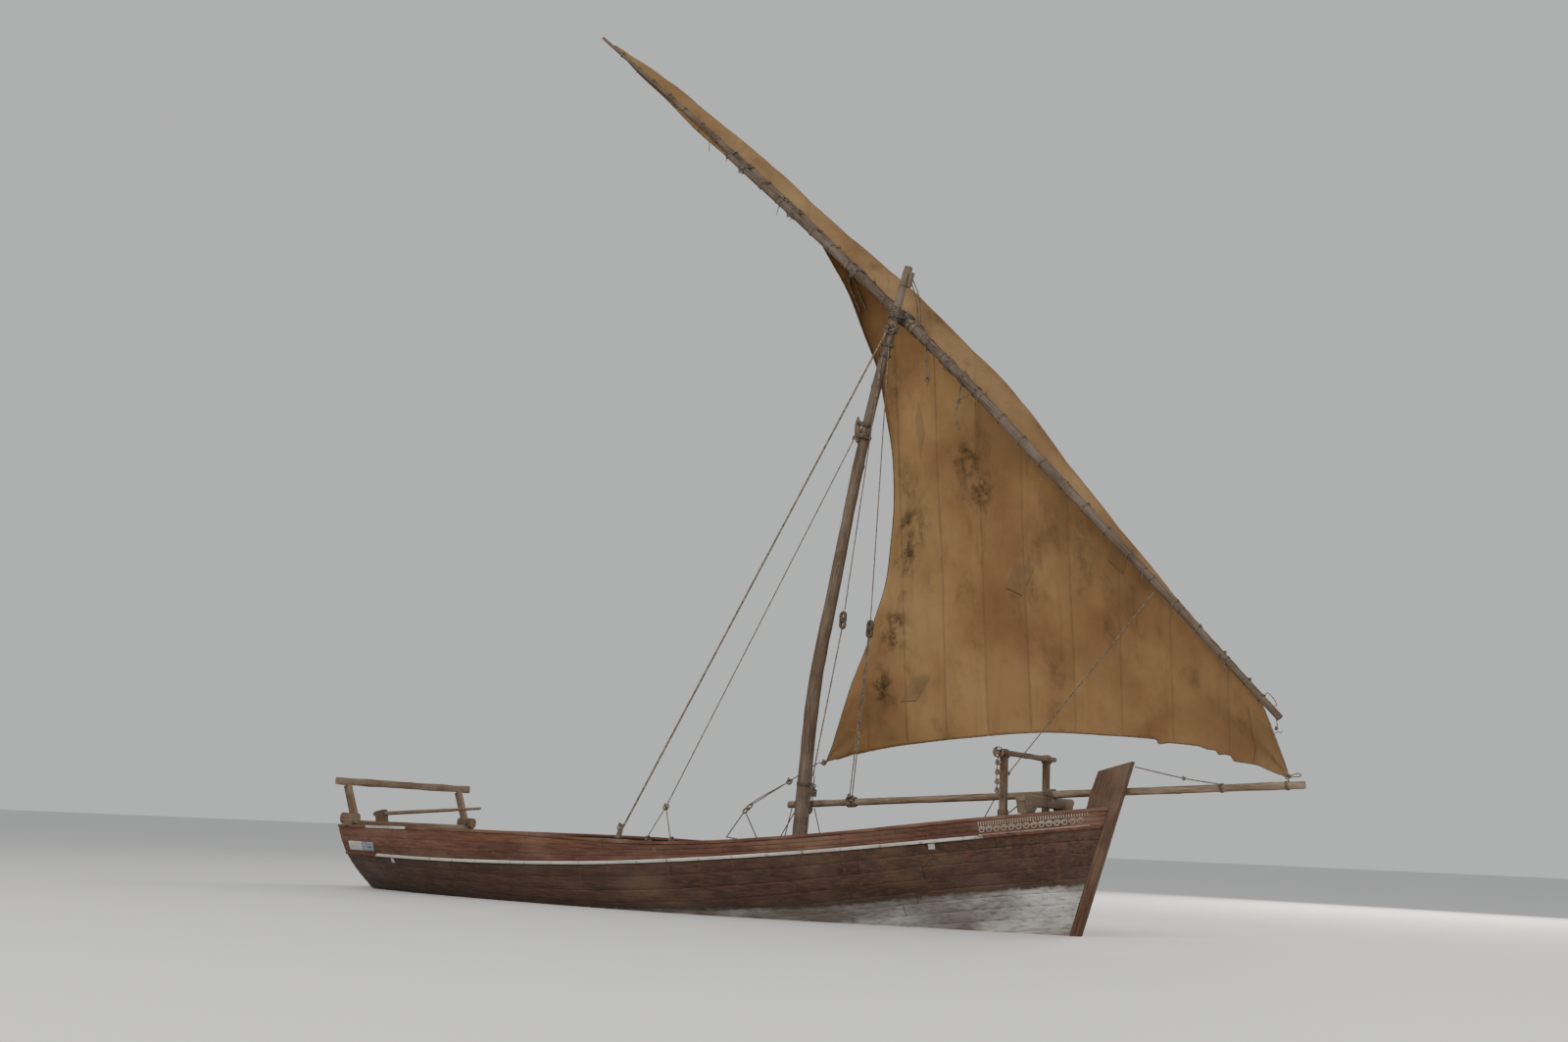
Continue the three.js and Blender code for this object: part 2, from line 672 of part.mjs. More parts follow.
GUDGEON_HEIGHTS.forEach((z, i) => {
  const name = i ? "upper" : "lower";
  const bore = cylinder(PIN.bore, z - 50, z + 100);
  const eye = cylinder(PIN.eye, z, z + 50);
  const web = box([18, -26, z], [faceX - SEAT, 26, z + 50]);
  const back = box([faceX - 8, -CENTRE_HALF - 8, z], [faceX - SEAT, CENTRE_HALF + 8, z + 50]);
  const cheek = (sign) => {
    const y = [sign * (CENTRE_HALF + SEAT), sign * (CENTRE_HALF + 8)].sort((p, q) => p - q);
    return box([faceX - 8, y[0], z], [faceX + postAft - 6, y[1], z + 50]);
  };
  const strap = join(cut(join(eye, web), bore), back, cheek(-1), cheek(1));
  put(`gudgeon_${name}`, raked(strap), paint.iron);
  const pin = cylinder(PIN.radius, z - 20, z + 90);
  const boss = box([STOCK + SEAT, -30, z + 56], [20, 30, z + 106]);
  const jaw = (sign) => {
    const y = [sign * (RUDDER_HALF + SEAT), sign * (RUDDER_HALF + 7)].sort((p, q) => p - q);
    return box([STOCK - 170, y[0], z + 56], [STOCK + 30, y[1], z + 106]);
  };
  const front = box([STOCK + SEAT, -RUDDER_HALF - 7, z + 56], [STOCK + 30, RUDDER_HALF + 7, z + 106]);
  put(`pintle_${name}`, raked(join(pin, boss, jaw(-1), jaw(1), front)), paint.iron);
});

// Yard: two spars lashed side by side, bowed upward in the middle

const low = new THREE.Vector3(...YARD_LOW);
const peak = new THREE.Vector3(...YARD_PEAK);
const yardUp = new THREE.Vector3(0.705, 0, 0.709);
function yardPoint(t, lift = 0) {
  const point = low.clone().lerp(peak, t);
  return point.addScaledVector(yardUp, 4 * YARD_BOW * t * (1 - t) * (1 - 0.35 * t) + lift);
}

// A line beside the yard's line, from its rows of lift and of offset to port.
function alongYard({ lift, side }) {
  const liftAt = heights(lift);
  const sideAt = heights(side);
  return (t) => yardPoint(t, liftAt(t)).add(new THREE.Vector3(0, sideAt(t), 0));
}
const lowerLine = alongYard(LOWER_SPAR);
const upperLine = alongYard(UPPER_SPAR);
function spar({ from, to, radius }, centre, extra) {
  const points = [];
  for (let i = 0; i <= 12; i++) points.push(centre(mix(from, to, i / 12)).toArray());
  const radiusAt = heights(radius);
  return pole(curveOf(points), (t) => radiusAt(mix(from, to, t)) + extra, 10, 14);
}
const lowerSpar = (extra) => spar(LOWER_SPAR, lowerLine, extra);
const upperSpar = (extra) => spar(UPPER_SPAR, upperLine, extra);

// An oval block: round the Z axis and round the line beside it at y = across.
function oval(across, radius, half) {
  const shape = new THREE.Shape();
  shape.absarc(0, 0, radius, Math.PI, 2 * Math.PI, false);
  shape.absarc(0, across, radius, 0, Math.PI, false);
  const extrusion = { depth: 2 * half, bevelEnabled: false, curveSegments: 8 };
  return solid(new THREE.ExtrudeGeometry(shape, extrusion).translate(0, 0, -half));
}
const lowerRadius = heights(LOWER_SPAR.radius);
const upperRadius = heights(UPPER_SPAR.radius);
function lashing(t, extra) {
  const start = lowerLine(t);
  const across = upperLine(t).sub(start);
  const y = across.clone().normalize();
  const z = new THREE.Vector3().subVectors(peak, low);
  z.addScaledVector(y, -z.dot(y)).normalize();
  const x = new THREE.Vector3().crossVectors(y, z);
  const placed = new THREE.Matrix4().makeBasis(x, y, z).setPosition(start);
  const radius = Math.max(lowerRadius(t), upperRadius(t)) + LASHING.turns + extra;
  return oval(across.length(), radius, LASHING.half + extra).transform(placed.toArray());
}
const lashings = (extra) => LASHING.at.map((t) => lashing(t, extra));
put("yard_lower_spar", lowerSpar(0), paint.pole);
const upperYard = join(upperSpar(0), ...lashings(0));
put("yard_upper_spar", cut(upperYard, lowerSpar(SEAT)), paint.pole);

// Sail: a closed cloth body from the head on the yard to its free edge, the foot and the leech

const headLine = alongYard(HEAD);
const foot = curveOf([TACK, ...FOOT_MIDDLE, CLEW]);
const leech = curveOf([CLEW, ...LEECH_MIDDLE, headLine(HEAD.top).toArray()]);
const bellyWay = new THREE.Vector3(...BELLY.way).normalize();
const bellyAtHead = heights(BELLY.head);
const bellyAtEdge = heights(BELLY.edge);
function freeEdge(u) {
  if (u < BELLY.clewAt) return foot.getPointAt(u / BELLY.clewAt);
  const w = (u - BELLY.clewAt) / (1 - BELLY.clewAt);
  return leech.getPointAt(w * (1 + BELLY.sag * w * (1 - w)));
}
function sailPoint(u, v) {
  const reach = Math.min(BELLY.reach * (1 - v), u, 1 - u);
  const edge = new THREE.Vector3();
  for (let k = -4; k <= 4; k++) edge.addScaledVector(freeEdge(u + (reach * k) / 4), 1 / 9);
  const head = headLine(u);
  const nearHead = head.clone().addScaledVector(bellyWay, bellyAtHead(u));
  const nearEdge = edge.clone().lerp(head, BELLY.lean).addScaledVector(bellyWay, bellyAtEdge(u));
  return new THREE.CubicBezierCurve3(head, nearHead, nearEdge, edge).getPoint(v);
}
const sailBody = warped(35, 1, 14, (a, b, c) => {
  const { clewAt } = BELLY;
  const u = a < clewAt ? a : mix(clewAt, HEAD.top, (a - clewAt) / (1 - clewAt));
  const h = 0.01;
  const along = sailPoint(Math.min(HEAD.top, u + h), c).sub(sailPoint(Math.max(0, u - h), c));
  const down = sailPoint(u, Math.min(1, c + h)).sub(sailPoint(u, Math.max(0, c - h)));
  const normal = along.cross(down).normalize();
  return sailPoint(u, c).addScaledVector(normal, (0.5 - b) * SAIL_THICK).toArray();
});

// Parrel: a strop round both spars and the mast that turns on the mast's smooth wrapped journal
const PARREL = { slack: 0.8, wall: 128, half: 80, at: 0.489 };
const parrel = (extra) =>
  oval(upperLine(PARREL.at).y, PARREL.wall + extra, PARREL.half + extra).transform(atSling);
const strop = cut(parrel(0), journal(PARREL.slack, 200), lowerSpar(SEAT), upperSpar(SEAT));
put("parrel", strop, paint.rope);

const sailRoom = join(lowerSpar(1), upperSpar(1), ...lashings(1), parrel(1));
put("sail", cut(sailBody, sailRoom), paint.canvas);

// Masthead and standing rigging: each stay has a collar round the mast
const mastCollar = mastBody(16);
function collar(low, high) {
  return cut(mastCollar.intersect(box([1500, -400, low], [4500, 400, high])), mastClear);
}
put("masthead_cap", collar(8990, 9190), paint.timber);

const cheekBlock = ball([2742, -62, 6900], [80, 52, 175]);
put("mast_cheek_block", cut(cheekBlock, mastClear), paint.timber);

const STAYS = [
  { name: "backstay", top: [3190, -95, 8370], foot: [190, -1832], radius: 15, ring: [8330, 8410] },
  { name: "side_stay", top: [2690, -85, 6790], foot: [664, -1815], radius: 9 },
];
const cheekClear = ball([2742, -62, 6900], [80 + SEAT, 52 + SEAT, 175 + SEAT]);
for (const { name, top, foot: [x, y], radius, ring } of STAYS) {
  const knot = ball([x, y, onRail(x) + 25], [60, 38, 50]);
  const stay = join(rope([top, [x, y, onRail(x) + 20]], radius), knot);
  const whole = ring ? join(stay, collar(...ring)) : stay;
  put(name, cut(whole, mastClear, cheekClear, railAndBelow), paint.rope);
}

// Two falls hang ahead of the mast, each through a block: one belayed on the mast, one on the bowsprit
const FALLS = [
  { name: "fall_to_mast", ring: [7960, 8020], top: [3100, -75, 7990], block: [2660, -190, 4135] },
  { name: "fall_to_bowsprit", ring: [8110, 8170], top: [3190, -60, 8140], block: [3050, -110, 4000] },
];
const BELAY = { ring: [1810, 1870], point: [2110, -60, 1840], lashing: [2721, 150, 1606] };
for (const { name, ring, top, block } of FALLS) {
  const onMast = name === "fall_to_mast";
  const foot = onMast ? BELAY.point : BELAY.lashing;
  const end = onMast ? collar(...BELAY.ring) : ball(foot, [60, 85, 75]);
  const parts = [rope([top, block], 9), ball(block, [55, 40, 130]), rope([block, foot], 9)];
  put(name, cut(join(...parts, end, collar(...ring)), mastClear, bowspritClear), paint.rope);
}

export default dhow;
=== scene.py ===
# %% [markdown]
# # A wooden sailing dhow
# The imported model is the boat's fixed frame: every piece at its real size and place, in metres, with
# +X to the bow, +Y to port and z = 0 at the waterline. This lesson dresses that frame. Each new piece
# is a surface worked out with numpy on a grid of two parameters, or a profile carried along a path,
# and each finish is a small tree of procedural nodes.

# %% Load the frame
import json
import math

import bpy
import numpy as np
from mathutils import Matrix, Vector


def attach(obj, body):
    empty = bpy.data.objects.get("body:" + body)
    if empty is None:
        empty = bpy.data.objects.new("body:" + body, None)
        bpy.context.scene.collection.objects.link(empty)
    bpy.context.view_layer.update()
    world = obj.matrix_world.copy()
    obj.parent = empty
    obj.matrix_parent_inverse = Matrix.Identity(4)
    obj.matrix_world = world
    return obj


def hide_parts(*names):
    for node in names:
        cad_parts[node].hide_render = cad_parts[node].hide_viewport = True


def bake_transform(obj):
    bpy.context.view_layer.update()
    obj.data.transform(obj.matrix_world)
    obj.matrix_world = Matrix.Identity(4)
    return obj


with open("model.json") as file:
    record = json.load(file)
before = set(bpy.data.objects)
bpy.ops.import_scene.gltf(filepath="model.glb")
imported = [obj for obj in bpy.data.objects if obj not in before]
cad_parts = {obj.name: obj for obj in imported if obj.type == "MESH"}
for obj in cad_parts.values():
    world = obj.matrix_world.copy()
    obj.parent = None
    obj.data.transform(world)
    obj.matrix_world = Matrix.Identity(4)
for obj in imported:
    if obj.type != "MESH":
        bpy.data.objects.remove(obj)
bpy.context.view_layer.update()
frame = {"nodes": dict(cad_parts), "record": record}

# %% [markdown]
# ## Camera
# The photograph was taken from low down, off the starboard bow, tilted up at the rig. A
# camera is three unit vectors and a place, so it is set from a heading, a pitch and a roll rather
# than aimed by eye. Depth of field stays off, because the whole boat is sharp.

# %% Camera
CAMERA_AT = (15.4, -21.43, 1.05)
PHOTO_WIDTH, FOCAL_PIXELS, HORIZON_BELOW_MIDDLE, SENSOR = 1600, 1800, 324.7, 36.0
HEADING, ROLL = math.radians(33), math.radians(2.505)
PITCH = math.atan2(HORIZON_BELOW_MIDDLE, FOCAL_PIXELS)

ahead = Vector((-math.sin(HEADING), math.cos(HEADING), 0))
level = Vector((math.cos(HEADING), math.sin(HEADING), 0))
forward = ahead * math.cos(PITCH) + Vector((0, 0, math.sin(PITCH)))
upright = level.cross(forward)
camera_right = level * math.cos(ROLL) + upright * math.sin(ROLL)
camera_up = upright * math.cos(ROLL) - level * math.sin(ROLL)
camera_data = bpy.data.cameras.new("photo_camera")
camera_data.sensor_width = SENSOR
camera_data.lens = FOCAL_PIXELS / PHOTO_WIDTH * SENSOR
camera = bpy.data.objects.new("photo_camera", camera_data)
turned = Matrix((camera_right, camera_up, -forward)).transposed().to_4x4()
camera.matrix_world = Matrix.Translation(CAMERA_AT) @ turned
bpy.context.scene.collection.objects.link(camera)
bpy.context.scene.camera = camera
print("lens", round(camera_data.lens, 2), "mm")

# %% [markdown]
# ## Smooth lines
# Everything long on a boat is a fair curve: a batten sprung through a few marks. Two kinds serve
# here. A table of heights gives one smooth value for each x. A line in space goes through its marks
# with knots spaced by the root of each step, which keeps it from looping where marks lie close.

# %% Lines
TINY = 1e-12


def mix(low, high, t):
    """Straight blend: low at t = 0, high at t = 1."""
    return low + (high - low) * t


def smooth(t):
    """Smooth step: 3t squared minus 2t cubed, held at 0 and 1 outside."""
    t = np.clip(t, 0, 1)
    return t * t * (3 - 2 * t)


def cubic(xs, vs, slope, x):
    """Cubic pieces: each piece mixes its two end values and its two end slopes by polynomials of t,
    the share of the way from one knot to the next."""
    x = np.clip(np.asarray(x, float), xs[0], xs[-1])
    i = np.clip(np.searchsorted(xs, x, side="right") - 1, 0, len(xs) - 2)
    h = (xs[i + 1] - xs[i])[..., None]
    t = (x - xs[i])[..., None] / h
    a, b = 2 * t**3 - 3 * t**2 + 1, t**3 - 2 * t**2 + t
    return a * vs[i] + b * h * slope[i] + (1 - a) * vs[i + 1] + (t**3 - t**2) * h * slope[i + 1]


def through(rows, x):
    """Smooth value at x from rows of (x, value): a knot's slope is the mean of its two chords'."""
    table = np.array(rows, float)
    xs, vs = table[:, 0], table[:, 1:]
    chord = np.diff(vs, axis=0) / np.diff(xs)[:, None]
    slope = np.vstack([chord[:1], (chord[:-1] + chord[1:]) / 2, chord[-1:]])
    return cubic(xs, vs, slope, x)[..., 0]


def run_of(line):
    """Length from the line's start to each of its points."""
    return np.r_[0, np.cumsum(np.linalg.norm(np.diff(line, axis=0), axis=1))]


def evenly(line, count):
    """The same line with count points at equal steps of its length."""
    run = run_of(line)
    at = np.linspace(0, run[-1], count)
    return np.stack([np.interp(at, run, line[:, k]) for k in range(3)], axis=1)


def curve_through(points, count):
    """Points evenly spaced along a smooth line. The knots lie apart by the root of each step, and a
    knot's slope is its two chords added, less the chord that skips it."""
    p = np.array(points, float)
    if len(p) == 2:
        return evenly(p, count)
    step = np.sqrt(np.linalg.norm(np.diff(p, axis=0), axis=1))
    far = np.vstack([2 * p[0] - p[1], p, 2 * p[-1] - p[-2]])
    wide = np.r_[step[0], step, step[-1]][:, None]
    chord = np.diff(far, axis=0) / wide
    slope = chord[:-1] + chord[1:] - (far[2:] - far[:-2]) / (wide[:-1] + wide[1:])
    knots = np.r_[0, np.cumsum(step)]
    return evenly(cubic(knots, p, slope, np.linspace(0, knots[-1], 50 * len(p))), count)


def on_line(line, share):
    """Point at a share of an evenly spaced line."""
    at = np.clip(share, 0, 1) * (len(line) - 1)
    i = np.minimum(at.astype(int), len(line) - 2)
    f = (at - i)[..., None]
    return line[i] * (1 - f) + line[i + 1] * f


def waves(points, scale, seed):
    """Smooth bumps between -1 and 1: a third of the sum of six sine waves in fixed odd directions."""
    rng = np.random.default_rng(seed)
    directions = rng.normal(size=(6, 3))
    directions /= np.linalg.norm(directions, axis=1)[:, None]
    phases = rng.uniform(0, 2 * np.pi, 6)
    lengths = rng.uniform(0.6, 1.6, 6)
    return sum(
        np.sin(points @ d * (2 * np.pi / (scale * length)) + p)
        for d, p, length in zip(directions, phases, lengths)
    ) / 3


print("a quarter of the way from 2 to 6 is", mix(2, 6, 0.25))

# %% [markdown]
# ## Arrays into meshes
# A loft is a stack of rings, all with the same number of points. Faces join each ring to the next, so
# the whole surface is one array of indices and no loop runs over its vertices. Closed rings with
# capped ends make a solid whose volume has a sign, and a negative one means that the faces look
# inward and are turned over. Edges sharper than an angle are shaded sharp, so a squared timber keeps
# its arris while a pole stays round.

# %% Grids and lofts
def solid_of(points, faces, uv, slot):
    """Points, triangles, a uv for each corner and a material number for each face, facing outward."""
    a, b, c = (points[faces[:, k]] for k in range(3))
    if np.einsum("ij,ij->", a, np.cross(b, c)) < 0:
        faces, uv = faces[:, ::-1], uv[:, ::-1]
    return {"points": points, "faces": faces, "uv": uv, "slot": slot}


def together(*columns):
    """Arrays brought to one shape and stacked as the coordinates of points."""
    return np.stack(np.broadcast_arrays(*columns), axis=-1)


def closed(grid):
    """A grid with its first column once more at the end."""
    return np.concatenate([grid, grid[:, :1]], axis=1)


def halves(quads):
    """Each quad as two triangles."""
    return np.concatenate([quads[:, [0, 1, 2]], quads[:, [0, 2, 3]]])


def metres_uv(rings, loop=False, shift=0.0):
    """uv in metres: u round the mean ring, v along the middle line. One column more than the rings
    have points, so that the pattern doesn't run backward over the joint."""
    middle = rings.mean(axis=1)
    middle = np.vstack([middle, middle[:1]]) if loop else middle
    first = rings[len(rings) // 2]
    around = run_of(np.vstack([first, first[:1]]))
    return together(around + 0.37 * shift, run_of(middle)[:, None] + shift)


def loft(rings, uv=None, slot=0, loop=False, shift=0.0):
    """Rings joined to a solid: quads between rings, and at each end a fan round the ring's middle,
    unless the last ring joins the first."""
    n, m, _ = rings.shape
    uv = metres_uv(rings, loop, shift) if uv is None else uv
    i, j = (k.ravel() for k in np.meshgrid(np.arange(n if loop else n - 1), np.arange(m), indexing="ij"))
    up, k = (i + 1) % n, (j + 1) % m
    quads = np.stack([i * m + j, up * m + j, up * m + k, i * m + k], -1)
    corners = np.stack([uv[i, j], uv[i + 1, j], uv[i + 1, j + 1], uv[i, j + 1]], 1)
    faces, corner_uv = halves(quads), halves(corners)
    slots = np.tile(np.broadcast_to(slot, m)[j], 2)
    points = rings.reshape(-1, 3)
    if not loop:
        points = np.vstack([points, rings[[0, -1]].mean(axis=1)])
        j, k = np.arange(m), (np.arange(m) + 1) % m
        low = np.stack([np.full(m, n * m), j, k], -1)
        high = np.stack([np.full(m, n * m + 1), (n - 1) * m + k, (n - 1) * m + j], -1)
        middle = np.broadcast_to(uv[[0, -1]].mean(axis=1)[:, None], (2, m, 2))
        low_uv = np.stack([middle[0], uv[0, :-1], uv[0, 1:]], 1)
        high_uv = np.stack([middle[1], uv[-1, 1:], uv[-1, :-1]], 1)
        faces = np.vstack([faces, low, high])
        corner_uv = np.vstack([corner_uv, low_uv, high_uv])
        slots = np.r_[slots, np.full(2 * m, np.max(slot))]
    return solid_of(points, faces, corner_uv, slots)


def two_faced(front, back, uv):
    """A thin sheet: the front grid, the back grid turned over, and a strip from one to the other
    along the border, which runs down the first column and comes back up the last."""
    n, m, _ = front.shape
    index = np.arange(n * m).reshape(n, m)
    quads = np.stack([index[:-1, :-1], index[1:, :-1], index[1:, 1:], index[:-1, 1:]], -1).reshape(-1, 4)
    border = np.concatenate([index[:-1, 0], index[-1, :-1], index[:0:-1, -1], index[0, :0:-1]])
    after = np.roll(border, -1)
    strip = np.stack([after, border, border + n * m, after + n * m], -1)
    quads = np.vstack([quads, quads[:, ::-1] + n * m, strip])
    faces = halves(quads)
    points = np.vstack([front.reshape(-1, 3), back.reshape(-1, 3)])
    return solid_of(points, faces, uv.reshape(-1, 2)[faces % (n * m)], np.zeros(len(faces), int))


def build(name, parts, finish, body, replaces=(), sharp=38.0):
    """One piece from several solids: their points are stacked, and each one's indices are shifted
    past the last. It gets its finishes, its slot and its body; given two bodies, it is left unattached
    where it stands."""
    shifts = np.cumsum([0] + [len(p["points"]) for p in parts[:-1]])
    points = np.vstack([p["points"] for p in parts])
    faces = np.vstack([p["faces"] + s for p, s in zip(parts, shifts)])
    uv = np.concatenate([p["uv"] for p in parts])
    slots = np.concatenate([np.broadcast_to(p["slot"], len(p["faces"])) for p in parts])
    mesh = bpy.data.meshes.new(name)
    mesh.vertices.add(len(points))
    mesh.vertices.foreach_set("co", points.astype(np.float32).ravel())
    mesh.loops.add(faces.size)
    mesh.loops.foreach_set("vertex_index", np.ascontiguousarray(faces, np.int32).ravel())
    mesh.polygons.add(len(faces))
    mesh.polygons.foreach_set("loop_start", np.arange(0, faces.size, 3, dtype=np.int32))
    mesh.polygons.foreach_set("use_smooth", np.ones(len(faces), bool))
    mesh.polygons.foreach_set("material_index", slots.astype(np.int32))
    mesh.update(calc_edges=True)
    mesh.uv_layers.new(name="UVMap").data.foreach_set("uv", uv.astype(np.float32).ravel())
    mesh.set_sharp_from_angle(angle=math.radians(sharp))
    piece = bpy.data.objects.new(name, mesh)
    bpy.context.scene.collection.objects.link(piece)
    for material in finish if isinstance(finish, list) else [finish]:
        mesh.materials.append(material)
    if isinstance(body, str):
        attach(piece, body)
    else:
        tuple(body[2])
        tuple(body[3])
        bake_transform(piece)
    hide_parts(*replaces)
    print(name, len(faces), "triangles")
    return piece


# %% [markdown]
# ## Tubes, ropes and timbers
# A pole, a rope and a knot are all a circle carried along a line. The two directions across the line
# come from one fixed direction, the one that the line itself follows least, so the circle never
# twists. Rope is laid of three strands: its outline has three lobes that turn once in each pitch.
# Sawn timber is a rounded rectangle carried the same way, never quite flat.

# %% Tubes and timbers
def across_line(line, loop=False):
    """The line's direction and two directions square to it. The reference is the eigenvector of the
    directions' own product that has the least value, so it is never along the line."""
    along = np.roll(line, -1, 0) - np.roll(line, 1, 0) if loop else np.gradient(line, axis=0)
    along = along / np.linalg.norm(along, axis=1)[:, None]
    side = np.cross(along, np.linalg.eigh(along.T @ along)[1][:, 0])
    side /= np.linalg.norm(side, axis=1)[:, None]
    return along, side, np.cross(along, side)


def circles(line, radius, sides=12, lobes=0, depth=0.0, pitch=1.0, loop=False):
    """Rings: line + radius (cos a * side + sin a * other), the radius times 1 + depth cos(lobes
    (a - turn)), where turn grows by a whole circle each pitch."""
    _, side, other = across_line(line, loop)
    a = np.linspace(0, 2 * np.pi, sides, endpoint=False)[None, :]
    r = np.broadcast_to(np.asarray(radius, float), (len(line),))[:, None]
    r = r * (1 + depth * np.cos(lobes * (a - 2 * np.pi * run_of(line)[:, None] / pitch)))
    across = np.cos(a)[..., None] * side[:, None] + np.sin(a)[..., None] * other[:, None]
    return line[:, None] + r[..., None] * across


def tube(points, radius, sides=10, count=None, loop=False):
    """A smooth tube through marks, or round a ready line when no count is given."""
    line = np.asarray(points, float) if count is None else curve_through(points, count)
    return loft(circles(line, radius, sides, loop=loop), loop=loop)


def rope(points, radius, pitch=None, steps=9, sides=9):
    """Three-strand rope through marks, or along a ready line of many points."""
    pitch = pitch or 9 * radius
    rough = curve_through(points, 40) if len(points) < 12 else np.asarray(points, float)
    count = max(6, int(run_of(rough)[-1] / pitch * steps))
    line = curve_through(points, count) if len(points) < 12 else evenly(rough, count)
    return loft(circles(line, radius, sides, 3, 0.13, pitch))


def sagging(start, end, drop, count=14):
    """A slack line: straight from start to end, lowered by drop times 4 s (1 - s)."""
    s = np.linspace(0, 1, count)[:, None]
    return mix(np.array(start, float), np.array(end, float), s) - np.array([0, 0, 4 * drop]) * s * (1 - s)


def knot(at, size, radius):
    """A trefoil: (2 + cos 3t) times (cos 2t, sin 2t) and sin 3t for height, a third of size apart."""
    t = np.linspace(0, 2 * np.pi, 48, endpoint=False)
    far = 2 + np.cos(3 * t)
    line = np.stack([far * np.cos(2 * t), far * np.sin(2 * t), 1.4 * np.sin(3 * t)], axis=1)
    return tube(np.array(at) + line[:, [0, 2, 1]] * size / 3, radius, 7, loop=True)


def coil(centre, axis, radius, thick, turns, pitch, sides=7, steps=20):
    """A cord wound round an axis: a circle whose centre moves on by a pitch each turn."""
    axis = np.array(axis, float) / np.linalg.norm(axis)
    one = np.cross(axis, [0.1, 1, 0.05])
    one /= np.linalg.norm(one)
    two = np.cross(axis, one)
    a = np.linspace(0, 2 * np.pi * turns, int(steps * turns))[:, None]
    line = np.array(centre, float) + radius * (np.cos(a) * one + np.sin(a) * two)
    return tube(line + axis * pitch * (a / (2 * np.pi) - turns / 2), thick, sides)


def rounded(width, depth, edge, steps=3):
    """Rounded rectangles: offsets of four quarter circles from the corners, for each width and depth."""
    a = np.radians(np.concatenate([np.linspace(0, 90, steps) + 90 * k for k in range(4)]))
    right, top = np.repeat([1, -1, -1, 1], steps), np.repeat([1, 1, -1, -1], steps)
    width, depth = np.atleast_1d(width)[:, None], np.atleast_1d(depth)[:, None]
    return (width / 2 - edge) * right + edge * np.cos(a), (depth / 2 - edge) * top + edge * np.sin(a)


def railed(low, high, half, across=(0, 1, 0), edge=0.008, seed=1, wander=0.002, rows=None):
    """A timber between two rails: at each point its depth is from the low rail to the high one and
    its thickness is twice half along across; slow waves keep its faces from being dead flat."""
    low, high = np.array(low, float), np.array(high, float)
    if rows:
        at, marks = np.linspace(0, len(low) - 1, rows), np.arange(len(low))
        low, high = (np.stack([np.interp(at, marks, p[:, k]) for k in range(3)], 1) for p in (low, high))
    up = high - low
    depth = np.linalg.norm(up, axis=1)
    up = up / depth[:, None]
    a, b = rounded(np.broadcast_to(2 * half, depth.shape), depth, edge)
    rings = ((low + high) / 2)[:, None] + a[..., None] * np.array(across, float) + b[..., None] * up[:, None]
    out = rings - rings.mean(axis=1)[:, None]
    out /= np.linalg.norm(out, axis=2)[..., None]
    return loft(rings + wander * (waves(rings, 0.5, seed) - 0.5)[..., None] * out, shift=3.7 * seed)


def squared(start, end, width, depth, up=(0, 0, 1), edge=0.008, seed=1, wander=0.002):
    """A straight timber: its rails lie half a depth to each side of the line from start to end."""
    start, end = np.array(start, float), np.array(end, float)
    along = end - start
    length = np.linalg.norm(along)
    side = np.cross(up, along / length)
    side /= np.linalg.norm(side)
    top = np.cross(along / length, side)
    line = mix(start, end, np.linspace(0, 1, max(3, int(length / 0.09)))[:, None])
    return railed(line - top * depth / 2, line + top * depth / 2, width / 2, side, edge, seed, wander)


def crosswise(x, half, z, width, depth, **shape):
    """A straight timber from side to side of the boat."""
    return squared((x, -half, z), (x, half, z), width, depth, **shape)


def ellipsoid(at, radii, seed=5, rings=12, sides=14):
    """A lump: circles of radius sin a stacked by cos a, scaled three ways and made a little uneven."""
    a = np.linspace(0.12, np.pi - 0.12, rings)[:, None]
    b = np.linspace(0, 2 * np.pi, sides, endpoint=False)[None, :]
    unit = together(np.sin(a) * np.cos(b), np.sin(a) * np.sin(b), np.cos(a))
    points = unit * (1 + 0.06 * waves(unit, 1.1, seed)[..., None])
    return loft(np.array(at) + points * np.array(radii))


# %% [markdown]
# ## Node trees
# Finishes are built by one short helper: it adds a node, sets its fields and links whatever is a
# socket. A value that is the same all over a surface goes straight on the shader's own socket.

# %% Finish helpers
def start(name, roughness, **fixed):
    """A material with one Principled node and its fixed values; returns it, its tree and the node."""
    material = bpy.data.materials.new(name)
    material.use_nodes = True
    tree = material.node_tree
    shader = tree.nodes["Principled BSDF"]
    shader.inputs["Roughness"].default_value = roughness
    for socket, value in fixed.items():
        shader.inputs[socket.replace("_", " ")].default_value = value
    return material, tree, shader


def add(tree, kind, inputs=None, **fields):
    """A node of that kind; inputs maps a socket's name or number to a value or another socket."""
    node = tree.nodes.new("ShaderNode" + kind)
    for field, value in fields.items():
        setattr(node, field, value)
    for key, value in (inputs or {}).items():
        if isinstance(value, bpy.types.NodeSocket):
            tree.links.new(value, node.inputs[key])
        else:
            node.inputs[key].default_value = value
    return node


def place(tree, squeeze=(1, 1, 1), source="Object"):
    """Coordinates of the piece itself or of its map, squeezed to the pattern's scale."""
    at = add(tree, "TexCoord").outputs[source]
    return add(tree, "Mapping", {"Vector": at, "Scale": squeeze}).outputs[0]


def noise(tree, scale, detail=3.0, rough=0.55, squeeze=(1, 1, 1), source="Object"):
    """Cloudy pattern from 0 to 1."""
    at = place(tree, squeeze, source)
    inputs = {"Vector": at, "Scale": scale, "Detail": detail, "Roughness": rough}
    return add(tree, "TexNoise", inputs).outputs[0]


